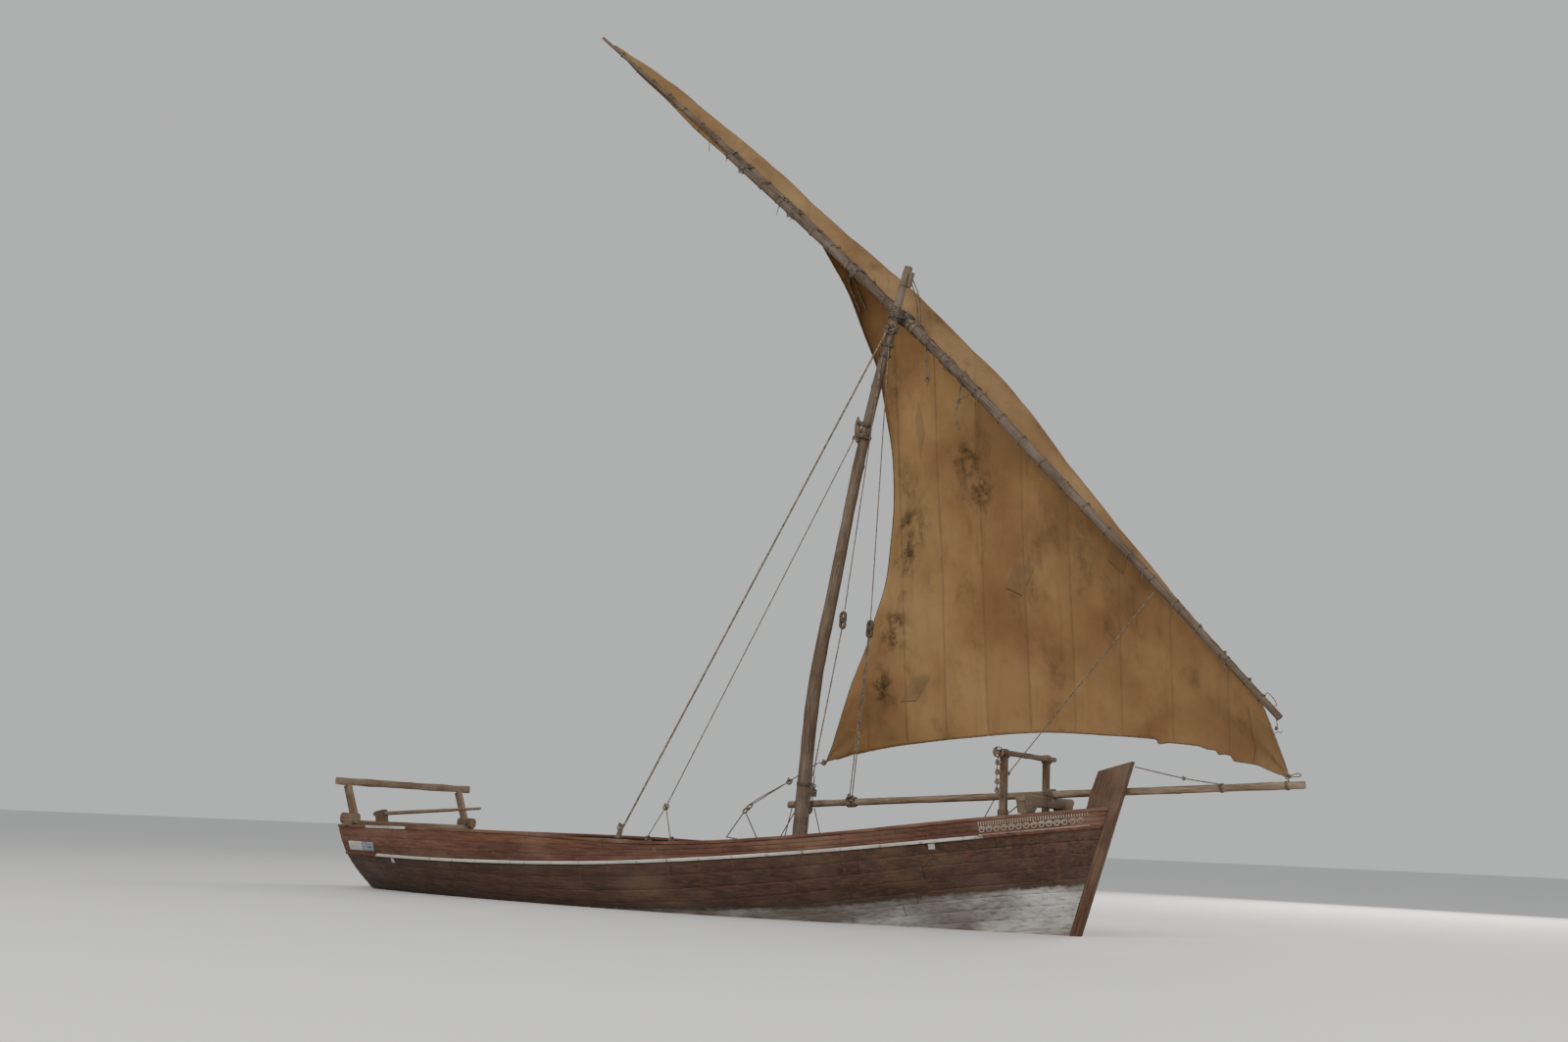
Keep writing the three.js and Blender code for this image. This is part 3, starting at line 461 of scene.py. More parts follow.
def stretch(tree, value, low, high, to_low=0.0, to_high=1.0):
    """Maps low..high of a value to to_low..to_high with soft ends."""
    inputs = {"Value": value, "From Min": low, "From Max": high, "To Min": to_low, "To Max": to_high}
    return add(tree, "MapRange", inputs, interpolation_type="SMOOTHSTEP").outputs[0]


def maths(tree, operation, a, b=0.0):
    """One step of arithmetic."""
    return add(tree, "Math", {0: a, 1: b}, operation=operation).outputs[0]


def plus(tree, a, b):
    """Sum of two values."""
    return maths(tree, "ADD", a, b)


def less(tree, a, b):
    """The first value less the second."""
    return maths(tree, "SUBTRACT", a, b)


def times(tree, a, b):
    """Product of two values."""
    return maths(tree, "MULTIPLY", a, b)


def apart(tree, a, b):
    """Distance between two values."""
    return maths(tree, "ABSOLUTE", less(tree, a, b))


def far(tree, a, b):
    """Root of the sum of two squares."""
    return maths(tree, "SQRT", plus(tree, maths(tree, "POWER", a, 2.0), maths(tree, "POWER", b, 2.0)))


def odd_number(tree, number, step):
    """A different fraction for each whole number: the fraction of a large sine."""
    return maths(tree, "FRACT", times(tree, maths(tree, "SINE", times(tree, number, step)), 437.5))


def layered(tree, base, *layers):
    """Colours laid over a base one by one, each after its share. A colour is red, green and blue, or
    a socket."""
    for share, over in layers:
        pair = [(*c, 1.0) if isinstance(c, tuple) else c for c in (base, over)]
        inputs = {0: share, 6: pair[0], 7: pair[1]}
        base = add(tree, "Mix", inputs, data_type="RGBA", blend_type="MIX").outputs[2]
    return base


def finish_with(tree, shader, base, height, distance, strength=0.7, rough=None):
    """Links a colour, a bump made from a height, and sometimes a roughness."""
    tree.links.new(base, shader.inputs["Base Color"])
    bump = add(tree, "Bump", {"Height": height, "Distance": distance, "Strength": strength})
    tree.links.new(bump.outputs[0], shader.inputs["Normal"])
    if rough is not None:
        tree.links.new(rough, shader.inputs["Roughness"])


# %% [markdown]
# ## Bare timber and poles
# The posts, rails and beams are sawn or adzed hardwood, oiled now and then and greyed with age. The
# poles are debarked trunks. Grain is noise stretched along the timber, and every loft carries its own
# map in metres, u round and v along, so the grain follows each piece. Long dark checks, pale worn
# patches and a slow change of tone keep it from looking new.

# %% Timber finishes
ACROSS_V, ACROSS_X = ((22, 1.1, 1), (90, 3.5, 1)), ((1, 16, 16), (4, 90, 90))
CRACK_COLOUR = (0.02, 0.014, 0.01)


def timber_finish(name, dark, light, grey, wear=0.5, source="UV", squeezes=ACROSS_V):
    """Wood with a grain: two noises squeezed across it, the first for tone, the second for checks."""
    material, tree, shader = start(name, 0.8, Specular_IOR_Level=0.25)
    grain = noise(tree, 2.2, 6.0, 0.62, squeezes[0], source)
    fine = noise(tree, 1.6, 4.0, 0.6, squeezes[1], source)
    crack = stretch(tree, fine, 0.30, 0.40, 1.0, 0.0)
    wood = layered(
        tree, dark, (stretch(tree, grain, 0.3, 0.72), light),
        (stretch(tree, noise(tree, 1.7, 4.0), 0.35, 0.75, 0.0, 0.55), grey),
        (stretch(tree, noise(tree, 7.0, 5.0, 0.7), 0.58, 0.74, 0.0, wear), grey),
        (times(tree, crack, 0.6), CRACK_COLOUR),
    )
    height = less(tree, times(tree, grain, 0.5), crack)
    finish_with(tree, shader, wood, height, 0.004, rough=stretch(tree, grain, 0.3, 0.8, 0.72, 0.92))
    return material


BELOW_FLOOR = ((0.05, 0.03, 0.018), (0.16, 0.10, 0.06), (0.2, 0.16, 0.12), 0.5, "Object", ACROSS_X)
TIMBERS = (
    ("weathered_timber", (0.05, 0.03, 0.018), (0.17, 0.105, 0.06), (0.23, 0.18, 0.135)),
    ("oiled_backbone", (0.035, 0.019, 0.012), (0.12, 0.062, 0.036), (0.16, 0.11, 0.075)),
    ("timber_below_the_floor", *BELOW_FLOOR),
    ("weathered_pole", (0.08, 0.052, 0.033), (0.25, 0.175, 0.115), (0.27, 0.225, 0.175), 0.6),
    # The mast and what sits on it get a darker copy of the same weathered pole wood: painted shade.
    ("smoke_dark_pole", (0.05, 0.033, 0.022), (0.16, 0.11, 0.072), (0.2, 0.16, 0.125)),
    # Pale board for the blank stern panel and the small chocks; the same pale timber paints the highlight
    # strip under the stern gunwale.
    ("sun_bleached_board", (0.30, 0.30, 0.28), (0.55, 0.54, 0.50), (0.22, 0.17, 0.13), 0.8),
    ("worn_brown_rail", (0.055, 0.022, 0.014), (0.15, 0.06, 0.036), (0.20, 0.135, 0.09), 0.75),
    # The yard's pole wood is a darker copy too: painted shade.
    ("dark_yard_pole", (0.04, 0.027, 0.018), (0.14, 0.10, 0.068), (0.185, 0.15, 0.12)),
)
timbers = [timber_finish(*row) for row in TIMBERS]
bare_timber, keel_timber, hidden_timber, pole_wood, dark_pole, pale_timber, rail_timber, yard_wood = timbers
print("timber and pole finishes", len(bpy.data.materials))

# %% [markdown]
# ## Planking finishes
# A planked hull reads by its seams, its rows of fastenings and the way each plank took its oil or
# paint a little differently. The planks are modelled, so the finish reads their map: u is metres
# along the hull and v counts strakes, so the whole part of v names a strake. A sine of that number is
# odd enough to give each strake its own tone and its own butt joints.

# %% Planking finishes
FRAME_SPACING, PLANK_RUN = 0.5, 4.3
DARK_PLANK, RUST_RUN, NAIL_COLOUR = (0.02, 0.012, 0.008), (0.13, 0.05, 0.02), (0.03, 0.016, 0.01)
COAT_EDGE, BUTT_COLOUR = (0.045, 0.04, 0.03), (0.012, 0.008, 0.006)
BROWN_DARK, BROWN_LIGHT = (0.06, 0.022, 0.014), (0.14, 0.055, 0.032)


def planking_finish(name, dark, light, worn_colour, wear, coat=None, span=None):
    """Painted or oiled planks: strake tone, butts each PLANK_RUN, two nails each FRAME_SPACING, runs
    of rust under them. With a coat, points whose attribute coat is under 0 have the bottom's chalk.
    With a span, the paint ends raggedly at two values of x, and brown timber goes on from there."""
    material, tree, shader = start(name, 0.7, Specular_IOR_Level=0.3)
    split = add(tree, "SeparateXYZ", {0: add(tree, "TexCoord").outputs["UV"]})
    x, v = split.outputs[0], split.outputs[1]
    strake, within = maths(tree, "FLOOR", v), maths(tree, "FRACT", v)
    staggered = times(tree, odd_number(tree, strake, 12.99), 7.3)
    plank_x = plus(tree, maths(tree, "DIVIDE", x, PLANK_RUN), staggered)
    plank, along = maths(tree, "FLOOR", plank_x), maths(tree, "FRACT", plank_x)
    tone = odd_number(tree, plus(tree, times(tree, strake, 3.71), plank), 9.13)
    butt = stretch(tree, apart(tree, along, 0.5), 0.4988, 0.4996)

    grain = noise(tree, 2.4, 6.0, 0.62, (1.0, 10.0, 14.0))
    cloud = noise(tree, 1.5, 5.0, squeeze=(0.6, 1.0, 1.6))
    flake = noise(tree, 9.0, 6.0, 0.7, (1.0, 1.0, 2.2))
    grained = stretch(tree, grain, 0.3, 0.75)
    worn = stretch(tree, flake, 0.60, 0.70, 0.0, wear)
    uneven = less(tree, flake, 0.5)

    bay = maths(tree, "FRACT", maths(tree, "DIVIDE", plus(tree, x, 10.0), FRAME_SPACING))
    nail_x = times(tree, less(tree, bay, 0.1), FRAME_SPACING)
    nail_v = times(tree, less(tree, apart(tree, within, 0.5), 0.3), 0.2)
    head = stretch(tree, far(tree, nail_x, nail_v), 0.008, 0.012, 1.0, 0.0)
    weep = stretch(tree, maths(tree, "ABSOLUTE", nail_x), 0.004, 0.03, 1.0, 0.0)
    weep = times(tree, weep, stretch(tree, flake, 0.4, 0.62, 0.0, 0.5))
    wood = layered(
        tree, dark, (grained, light), (times(tree, tone, 0.45), DARK_PLANK),
        (stretch(tree, cloud, 0.42, 0.75, 0.0, 0.5), worn_colour), (worn, worn_colour),
        (weep, RUST_RUN), (times(tree, head, 0.8), NAIL_COLOUR),
    )
    if coat is not None:
        edge = add(tree, "Attribute", attribute_name="coat").outputs["Fac"]
        ragged = plus(tree, edge, times(tree, uneven, 0.12))
        chalk = stretch(tree, ragged, -0.012, 0.012, 1.0, 0.0)
        scuffed = times(tree, chalk, stretch(tree, cloud, 0.25, 0.62, 0.95, 0.25))
        scuffed = times(tree, scuffed, stretch(tree, grain, 0.28, 0.55, 0.45, 1.0))
        band = stretch(tree, maths(tree, "ABSOLUTE", ragged), 0.0, 0.05, 0.6, 0.0)
        wood = layered(tree, wood, (scuffed, coat), (band, COAT_EDGE))
    if span is not None:
        ragged_x = plus(tree, x, times(tree, uneven, 0.5))
        painted = stretch(tree, ragged_x, span[0] - 0.03, span[0] + 0.03)
        painted = times(tree, painted, stretch(tree, ragged_x, span[1] - 0.1, span[1] + 0.1, 1.0, 0.0))
        wood = layered(tree, BROWN_DARK, (grained, BROWN_LIGHT), (painted, wood))
    wood = layered(tree, wood, (butt, BUTT_COLOUR))
    height = less(tree, times(tree, grain, 0.35), times(tree, butt, 1.5))
    height = plus(tree, less(tree, height, times(tree, worn, 0.4)), times(tree, head, 0.5))
    finish_with(tree, shader, wood, height, 0.004, rough=stretch(tree, flake, 0.3, 0.8, 0.55, 0.88))
    return material


CHALK, STRIPE_SPAN = (0.42, 0.41, 0.38), (-4.85, 5.2)
PLANKINGS = (
    ("oiled_bottom_planks", (0.035, 0.017, 0.011), (0.105, 0.05, 0.03), (0.14, 0.09, 0.06), 0.5, CHALK),
    ("worn_red_brown_strakes", (0.070, 0.027, 0.017), (0.165, 0.068, 0.038), (0.21, 0.13, 0.085), 0.75),
    (
        "chipped_white_paint", (0.46, 0.44, 0.40), (0.64, 0.62, 0.57), (0.20, 0.13, 0.09), 0.85, None,
        STRIPE_SPAN
    ),
    ("flaking_pale_paint", (0.34, 0.31, 0.26), (0.56, 0.53, 0.46), (0.17, 0.09, 0.055), 0.95),
    ("faded_blue_paint", (0.16, 0.22, 0.28), (0.30, 0.37, 0.42), (0.20, 0.14, 0.10), 0.85),
    ("bare_inner_planks", (0.07, 0.042, 0.025), (0.17, 0.11, 0.068), (0.22, 0.175, 0.13), 0.6),
    ("scrubbed_deck_boards", (0.12, 0.09, 0.065), (0.29, 0.23, 0.17), (0.34, 0.31, 0.27), 0.6),
)
plankings = [planking_finish(*row) for row in PLANKINGS]
hull_oiled, strakes_red, white_paint, band_paint, blue_paint, inside_planks, deck_planks = plankings

# %% [markdown]
# ## Iron and rope
# Forged straps and pins are brown with old rust, brighter where scale has dropped off. The rope is
# coir and old hemp; its strands are modelled, so its finish only needs fibres, dirt and wear.

# %% Iron and rope finishes
def fibre_finish(name, dark, light, roughness, scale, metallic=0.0):
    """Mottled finish: a broad noise for colour, a finer one for stains and a grit for the bump."""
    material, tree, shader = start(name, roughness, Metallic=metallic)
    cloud, grit = noise(tree, scale, 5.0), noise(tree, scale * 8, 4.0, 0.7)
    stains = stretch(tree, grit, 0.5, 0.7, 0.0, 0.6)
    base = layered(tree, dark, (stretch(tree, cloud, 0.35, 0.65), light), (stains, dark))
    finish_with(tree, shader, base, grit, 0.002)
    return material


rusty_iron = fibre_finish("rusty_iron", (0.10, 0.045, 0.022), (0.20, 0.09, 0.045), 0.75, 14.0, 0.35)
rope_fibre = fibre_finish("coir_rope", (0.075, 0.057, 0.038), (0.21, 0.165, 0.115), 0.92, 22.0)
dark_rope = fibre_finish("tarred_lashing", (0.05, 0.038, 0.028), (0.16, 0.125, 0.09), 0.9, 26.0)

# %% [markdown]
# ## Hull lines
# The hull is one formula, the same one that its solid was cut from: at station u from the transom, 0,
# to the stem, 1, the side swells from the rabbet to the sheer as 1 - (1 - t) to the power of the
# section's fullness. Written for whole arrays, it gives any number of planks with true curves.

# %% Hull surface
STERN_X, STERN_RAKE = -5.62, -0.23
STEM_X, STEM_RAKE, RABBET_SETBACK = 6.25, 0.3116, 0.13
WIDEST_AT, FLOOR_RISE, PLANK = 0.42, 1.3, 0.045
BEAM_HALF, TRANSOM_HALF, RABBET_HALF = 1.88, 1.29, 0.07
RABBET_SPAN, SHEER_SPAN = (-5.482, 5.933), (-5.85, 6.5)
SHEER = [(-5.9, 0.990), (-2.0, 1.003), (0.9, 0.955), (3.2, 1.148), (5.0, 1.400), (6.7, 1.645)]
STRIPE = [(-5.9, 0.553), (-2.7, 0.548), (0.0, 0.635), (3.0, 0.895), (5.3, 1.200), (6.7, 1.405)]
RABBET = [(-5.6, -0.350), (-4.8, -0.455), (-3.6, -0.590), (-2.4, -0.640), (4.6, -0.640), (6.0, -0.560)]
COAT = [
    (-5.9, 0.03), (-3.0, -0.02), (0.0, 0.01), (1.16, 0.073), (2.9, 0.187), (4.08, 0.345), (5.18, 0.513),
    (6.7, 0.70)
]


def stern_at(z):
    """The transom's plane: x falls by STERN_RAKE for each metre up."""
    return STERN_X + STERN_RAKE * z


def stem_at(z):
    """The stem's front edge."""
    return STEM_X + STEM_RAKE * z


def hull_at(u, inset, z):
    """Point of the hull's port side at station u and height z: y goes from the rabbet's half breadth
    to the section's by 1 - (1 - t) ** fullness, less the inset, with t the share of the height."""
    fore = np.clip((u - WIDEST_AT) / (1 - WIDEST_AT), 0, None)
    aft = np.clip((WIDEST_AT - u) / WIDEST_AT, 0, None)
    half_fore = mix(RABBET_HALF, BEAM_HALF, np.clip(1 - fore**2.9, 0, None) ** 0.9)
    half = np.where(fore > 0, half_fore, mix(BEAM_HALF, TRANSOM_HALF, aft**2.2))
    fullness = np.where(fore > 0, mix(3.3, 1.2, smooth(fore)), mix(3.3, 2, aft))
    bottom = through(RABBET, mix(*RABBET_SPAN, u)) + FLOOR_RISE * inset
    sheer = through(SHEER, mix(*SHEER_SPAN, u))
    t = (z - bottom) / (sheer - bottom)
    swell = 1 - np.clip(1 - t, 0, None) ** fullness
    y = np.maximum(0.008, mix(RABBET_HALF, half, swell) - inset)
    x = mix(stern_at(z), stem_at(z) - RABBET_SETBACK, u)
    return together(x, y, z)


def height_on_hull(u, rows, drop=0.0):
    """Height where a line along the side, given by rows of (x, z), crosses station u: x depends on
    z through the raked ends, so z is put back into x a few times until it stays."""
    z = np.full(np.shape(u), 0.8)
    for _ in range(6):
        x = mix(stern_at(z), stem_at(z) - RABBET_SETBACK, u)
        z = through(rows, x) - drop
    return z


def width_at(x, z, inset=0.0):
    """Half breadth of the hull at a point of its length and height."""
    u = (x - stern_at(z)) / (stem_at(z) - RABBET_SETBACK - stern_at(z))
    return hull_at(u, inset, z)[..., 1]


print("half breadth amidships", round(float(width_at(np.array(0.0), np.array(0.9))), 3))

# %% [markdown]
# ## Planks
# Each side is a shell of strakes. A real strake keeps an even share of the girth from end to end, so
# the levels are found by measuring the girth at each station and dividing it. Between two seams the
# plank stands a few millimetres proud, and at the seam the surface drops into a caulked groove. The
# side above the stripe is painted a worn red brown, the oiled side below it darkens to the chalky
# coat of the bottom.

# %% Planked shells
STATIONS = 170
SEAM_DEPTH, CROWN, SEAT_GAP = 0.006, 0.003, 0.0003
PLANK_STEPS = np.array([0.0, 0.035, 0.10, 0.30, 0.5, 0.70, 0.90, 0.965])
SIDES = (("starboard", -1), ("port", 1))


def strake_rows(count):
    """Shares of the girth for count strakes, with the rows close together at the seams."""
    return np.concatenate([(k + PLANK_STEPS) / count for k in range(count)] + [[1.0]])


def groove(strake, depth):
    """How far a planked face lies back at a strake number: depth at a seam, less the crown between."""
    within = strake % 1
    seam = np.minimum(within, 1 - within)
    return depth * (1 - smooth(seam / 0.05)) - CROWN * (1 - (2 * within - 1) ** 2)


def planked_side(name, node, low, high, count, finish, first_strake, sign, seed):
    """A shell of strakes between two heights: outer rows follow the seams, inner rows lie a plank's
    thickness in, and one ring at each station runs up the outside and down the inside."""
    u = np.linspace(0, 1, STATIONS)
    share = strake_rows(count)
    z = mix(low(u)[:, None], high(u)[:, None], np.linspace(0, 1, 160)[None, :] ** 1.4)
    girth = np.linalg.norm(np.diff(hull_at(u[:, None], 0.0, z), axis=1), axis=2).cumsum(axis=1)
    girth = np.concatenate([np.zeros((STATIONS, 1)), girth], axis=1)
    z = np.stack([np.interp(share * g[-1], g, heights) for g, heights in zip(girth, z)])
    outer, inner = hull_at(u[:, None], 0.0, z), hull_at(u[:, None], PLANK, z)
    normal = np.cross(np.gradient(outer, axis=1), np.gradient(outer, axis=0))
    normal /= np.linalg.norm(normal, axis=2)[..., None] + TINY
    normal *= np.sign(normal[STATIONS // 2, -2, 1])
    drop = groove(share * count, SEAM_DEPTH)[None, :] + 0.0015 * waves(outer, 1.3, seed)
    rings = np.concatenate([outer - normal * drop[..., None], inner[:, ::-1]], axis=1)
    rings[..., 1] *= sign
    v = np.concatenate([share, share[::-1], share[:1]]) * count + first_strake
    uv = together(closed(rings[..., 0]), v[None, :])
    inside = (np.arange(rings.shape[1]) >= len(share)).astype(int)
    piece = build(name, [loft(rings, uv, inside)], [finish, inside_planks], "hull", [node])
    co = np.empty(len(piece.data.vertices) * 3, np.float32)
    piece.data.vertices.foreach_get("co", co)
    co = co.reshape(-1, 3)
    coat = piece.data.attributes.new("coat", "FLOAT", "POINT")
    coat.data.foreach_set("value", (co[:, 2] - through(COAT, co[:, 0])).astype(np.float32))


GUNWALE_HEIGHT, STRAKE_HALF = 0.045, 0.022
for side, sign in SIDES:
    planked_side(
        f"bottom_planks_{side}", f"lower_planking_{side}",
        lambda u: through(RABBET, mix(*RABBET_SPAN, u)), lambda u: height_on_hull(u, STRIPE),
        12, hull_oiled, 0, sign, 11,
    )
    planked_side(
        f"side_strakes_{side}", f"upper_strakes_{side}",
        lambda u: height_on_hull(u, STRIPE) + SEAT_GAP, lambda u: height_on_hull(u, SHEER, GUNWALE_HEIGHT),
        3, strakes_red, 20, sign, 12,
    )

# %% [markdown]
# ## Gunwale and rubbing strake
# Both are long bent timbers of one section. A short closed outline, given as how far it stands out of
# the side and how high, is carried along the sheer or the stripe, so the corners stay round all along.

# %% Bent timbers
def bent_timber(rows, low, high, out_low, out_high, edge, sign, seed, span=(0.0, 1.0)):
    """A rounded rectangle carried along a line of the side: out moves y, up moves z."""
    u = np.linspace(*span, 170)[:, None]
    z = height_on_hull(u[:, 0], rows)[:, None]
    out, up = rounded(out_high - out_low, high - low, edge)
    rings = hull_at(u, 0.0, z + 0 * out)
    rings[..., 1] += out + (out_low + out_high) / 2
    rings[..., 2] = z + up + (low + high) / 2
    rings[..., 1] = np.maximum(rings[..., 1] + 0.0015 * waves(rings, 0.9, seed), 0.068) * sign
    around = np.r_[run_of(rings[80]), 0.3]
    return loft(rings, together(around[None, :] + 2 * seed, closed(rings[..., 0])))


for side, sign in SIDES:
    rail = [bent_timber(SHEER, -GUNWALE_HEIGHT, 0.0, -0.095, 0.015, 0.010, sign, 21)]
    build(f"gunwale_timber_{side}", rail, rail_timber, "hull", [f"gunwale_{side}"])
    stripe = bent_timber(STRIPE, -STRAKE_HALF, STRAKE_HALF, 0.0, 0.028, 0.013, sign, 22)
    stripe["uv"] = stripe["uv"][..., ::-1] * [1, 8]
    node = f"rubbing_strake_{side}"
    build(f"white_{node}", [stripe], white_paint, "hull", [node])

# %% [markdown]
# ## Backbone
# The keel, the stem and the stern post are thick baulks between two rails each: what matters is the
# outline seen from the side, so each is lofted from a low or aft rail to a high or fore one.

# %% Keel, stem and posts
CENTRE_HALF, KEEL_BOTTOM = 0.065, -0.85


def in_plane(rows):
    """Points on the centre plane from rows of (x, z)."""
    rows = np.array(rows, float)
    return np.stack([rows[:, 0], np.zeros(len(rows)), rows[:, 1]], axis=1)


keel_x = np.linspace(-5.50, 5.25, 60)
keel_low = in_plane(np.stack([np.linspace(-5.4245, 5.25, 60), np.full(60, KEEL_BOTTOM)], 1))
keel_high = in_plane(np.stack([keel_x, through(RABBET, keel_x) + 0.075], 1))
keel = railed(keel_low, keel_high, CENTRE_HALF, edge=0.01, seed=31)
build("keel_baulk", [keel], keel_timber, "hull", ["keel"])

STEM_FRONT = [
    (5.2503, -0.85), (5.56, -0.85), (5.88, -0.73), (6.10, -0.48), (6.761, 1.64), (6.802, 1.77),
    (6.856, 1.946), (6.941, 2.215)
]
STEM_BACK = [
    (5.2503, -0.545), (5.40, -0.443), (5.54, -0.347), (5.682, -0.25), (6.331, 1.64), (6.361, 1.77),
    (6.426, 1.946), (6.478, 2.084)
]
stem = railed(in_plane(STEM_BACK), in_plane(STEM_FRONT), CENTRE_HALF, edge=0.014, seed=32, rows=70)
build("stem_baulk", [stem], keel_timber, "hull", ["stem_post"])

post_z = np.linspace(KEEL_BOTTOM, 0.9, 30)
post_fore = in_plane(np.stack([stern_at(post_z) - SEAT_GAP, post_z], 1))
post = railed(post_fore - np.array([0.15, 0, 0]), post_fore, CENTRE_HALF, edge=0.012, seed=33)
build("stern_post_baulk", [post], keel_timber, "hull", ["stern_post"])

# %% [markdown]
# The transom is a wall of boards across the stern and the rudder a wall of boards side by side. Both
# use the same rows as the planks: a share of the width or height, with a groove where two boards meet.

# %% Transom and rudder
TRANSOM_BOARDS, TRANSOM_THICK, TRANSOM_LOW, TRANSOM_TOP = 9, 0.06, -0.30, 0.944
transom_share = strake_rows(TRANSOM_BOARDS)
board_z = mix(TRANSOM_LOW, TRANSOM_TOP, transom_share)
board_half = width_at(stern_at(board_z) + 0.001, board_z, PLANK + SEAT_GAP)
across = np.linspace(-1, 1, 41)[:, None]
drop = groove(transom_share * TRANSOM_BOARDS, 0.005)
aft_face = together(stern_at(board_z) + drop + 0.004, across * board_half, board_z)
fore_face = aft_face + np.array([TRANSOM_THICK - 0.004, 0, 0])
transom_rings = np.concatenate([aft_face, fore_face[:, ::-1]], axis=1)
columns = np.concatenate([transom_share, transom_share[::-1], transom_share[:1]]) * TRANSOM_BOARDS + 60
transom_uv = together(closed(transom_rings[..., 1]), columns[None, :])
build("transom_boards", [loft(transom_rings, transom_uv)], strakes_red, "hull", ["transom"])

AXIS_X, RAKE = -5.816, math.atan(STERN_RAKE)
STOCK = -0.042
RUDDER_AFT = [(-0.80, -0.542), (-0.30, -0.562), (0.26, -0.472), (0.64, -0.242), (1.30, -0.222)]
RUDDER_BOARDS, RUDDER_HALF = 4, 0.03


def raked(points):
    """Points about the upright rudder axis turned about Y by RAKE and set on the stern."""
    x, z = points[..., 0], points[..., 2]
    c, s = math.cos(RAKE), math.sin(RAKE)
    return np.stack([c * x + s * z + AXIS_X, points[..., 1], c * z - s * x], axis=-1)


rudder_share = strake_rows(RUDDER_BOARDS)
blade_z = np.linspace(-0.80, 1.30, 90)[:, None]
rows = np.array(RUDDER_AFT)
aft_x = np.interp(blade_z[:, 0], rows[:, 0], rows[:, 1])[:, None]
blade_x = np.maximum(mix(STOCK, -0.562, rudder_share)[None, :], aft_x)
half = RUDDER_HALF - np.maximum(groove(rudder_share * RUDDER_BOARDS, 0.005), 0)[None, :]
half = half - 0.012 * smooth((blade_x - aft_x) / -0.02 + 1) * (aft_x < -0.3)
one_side = together(blade_x, half, blade_z)
blade = np.concatenate([one_side, one_side[:, ::-1] * np.array([1, -1, 1])], axis=1)
head = squared((STOCK - 0.095, 0, 0.96), (STOCK - 0.095, 0, 1.30), 0.124, 0.19, (1, 0, 0), 0.014, 34)
head["points"] = raked(head["points"])
cleat_boards = [
    squared((STOCK - 0.02, y, z), (STOCK - 0.44, y, z), 0.02, 0.07, seed=35)
    for z in (-0.42, 0.12)
    for y in (-0.034, 0.034)
]
for part in cleat_boards:
    part["points"] = raked(part["points"])
build("rudder_boards", [loft(raked(blade)), head, *cleat_boards], keel_timber, "rudder", ["rudder"])

# %% [markdown]
# ## Ribs, beams and decks
# The waist is open, so the ribs show inside it. Poop and fore deck are loose boards on beams and
# carlings; the boards are laid lengthwise, clipped to the hull's inside, with staggered butts and a
# narrow gap between them. Each board is a rounded rectangle carried along x.

# %% Ribs and shelf
FIRST_RIB, RIB_COUNT, FLOOR_TOP, BOARD = -4.95, 21, 0.54, 0.035
POOP_FORE, FORE_AFT, DECK_BELOW = -2.29, 1.62, 0.06


def bare(name, parts, *nodes):
    """A piece of bare timber on the hull, in place of the frame's nodes."""
    return build(name, parts, bare_timber, "hull", nodes)


def upright_on_side(x, low, high, inner, outer, half, sign, seed):
    """A rib: its rails climb the hull's inside at one x, inner and outer metres from the planks."""
    z = np.linspace(low, high, 9)
    y = width_at(np.full(9, x), z, PLANK + SEAT_GAP)
    rails = [np.stack([np.full(9, x), sign * (y - off), z], 1) for off in (inner, outer)]
    return railed(rails[0], rails[1], half, (1, 0, 0), 0.009, seed, 0.003)


for side, sign in SIDES:
    ribs = []
    for k in range(RIB_COUNT):
        x = FIRST_RIB + k * FRAME_SPACING
        decked = x < POOP_FORE or x > FORE_AFT
        top = float(through(SHEER, x)) - (DECK_BELOW + BOARD if decked else GUNWALE_HEIGHT) - 0.001
        ribs.append(upright_on_side(x, FLOOR_TOP, top, 0.07, 0.0, 0.03, sign, 50 + k))
    x = np.linspace(-4.98, 5.08, 90)
    z = through(SHEER, x) - 0.236
    y = width_at(x, z, PLANK)
    rails = [np.stack([x, sign * (y - off), z], 1) for off in (0.112, 0.057)]
    ribs.append(railed(rails[0], rails[1], 0.03, (0, 0, 1), 0.008, 72, 0.003))
    bare(f"ribs_and_shelf_{side}", ribs, f"frames_{side}")

# %% Deck boards
def deck_top(x):
    """The poop and fore deck follow the sheer a little below it."""
    return through(SHEER, x) - DECK_BELOW


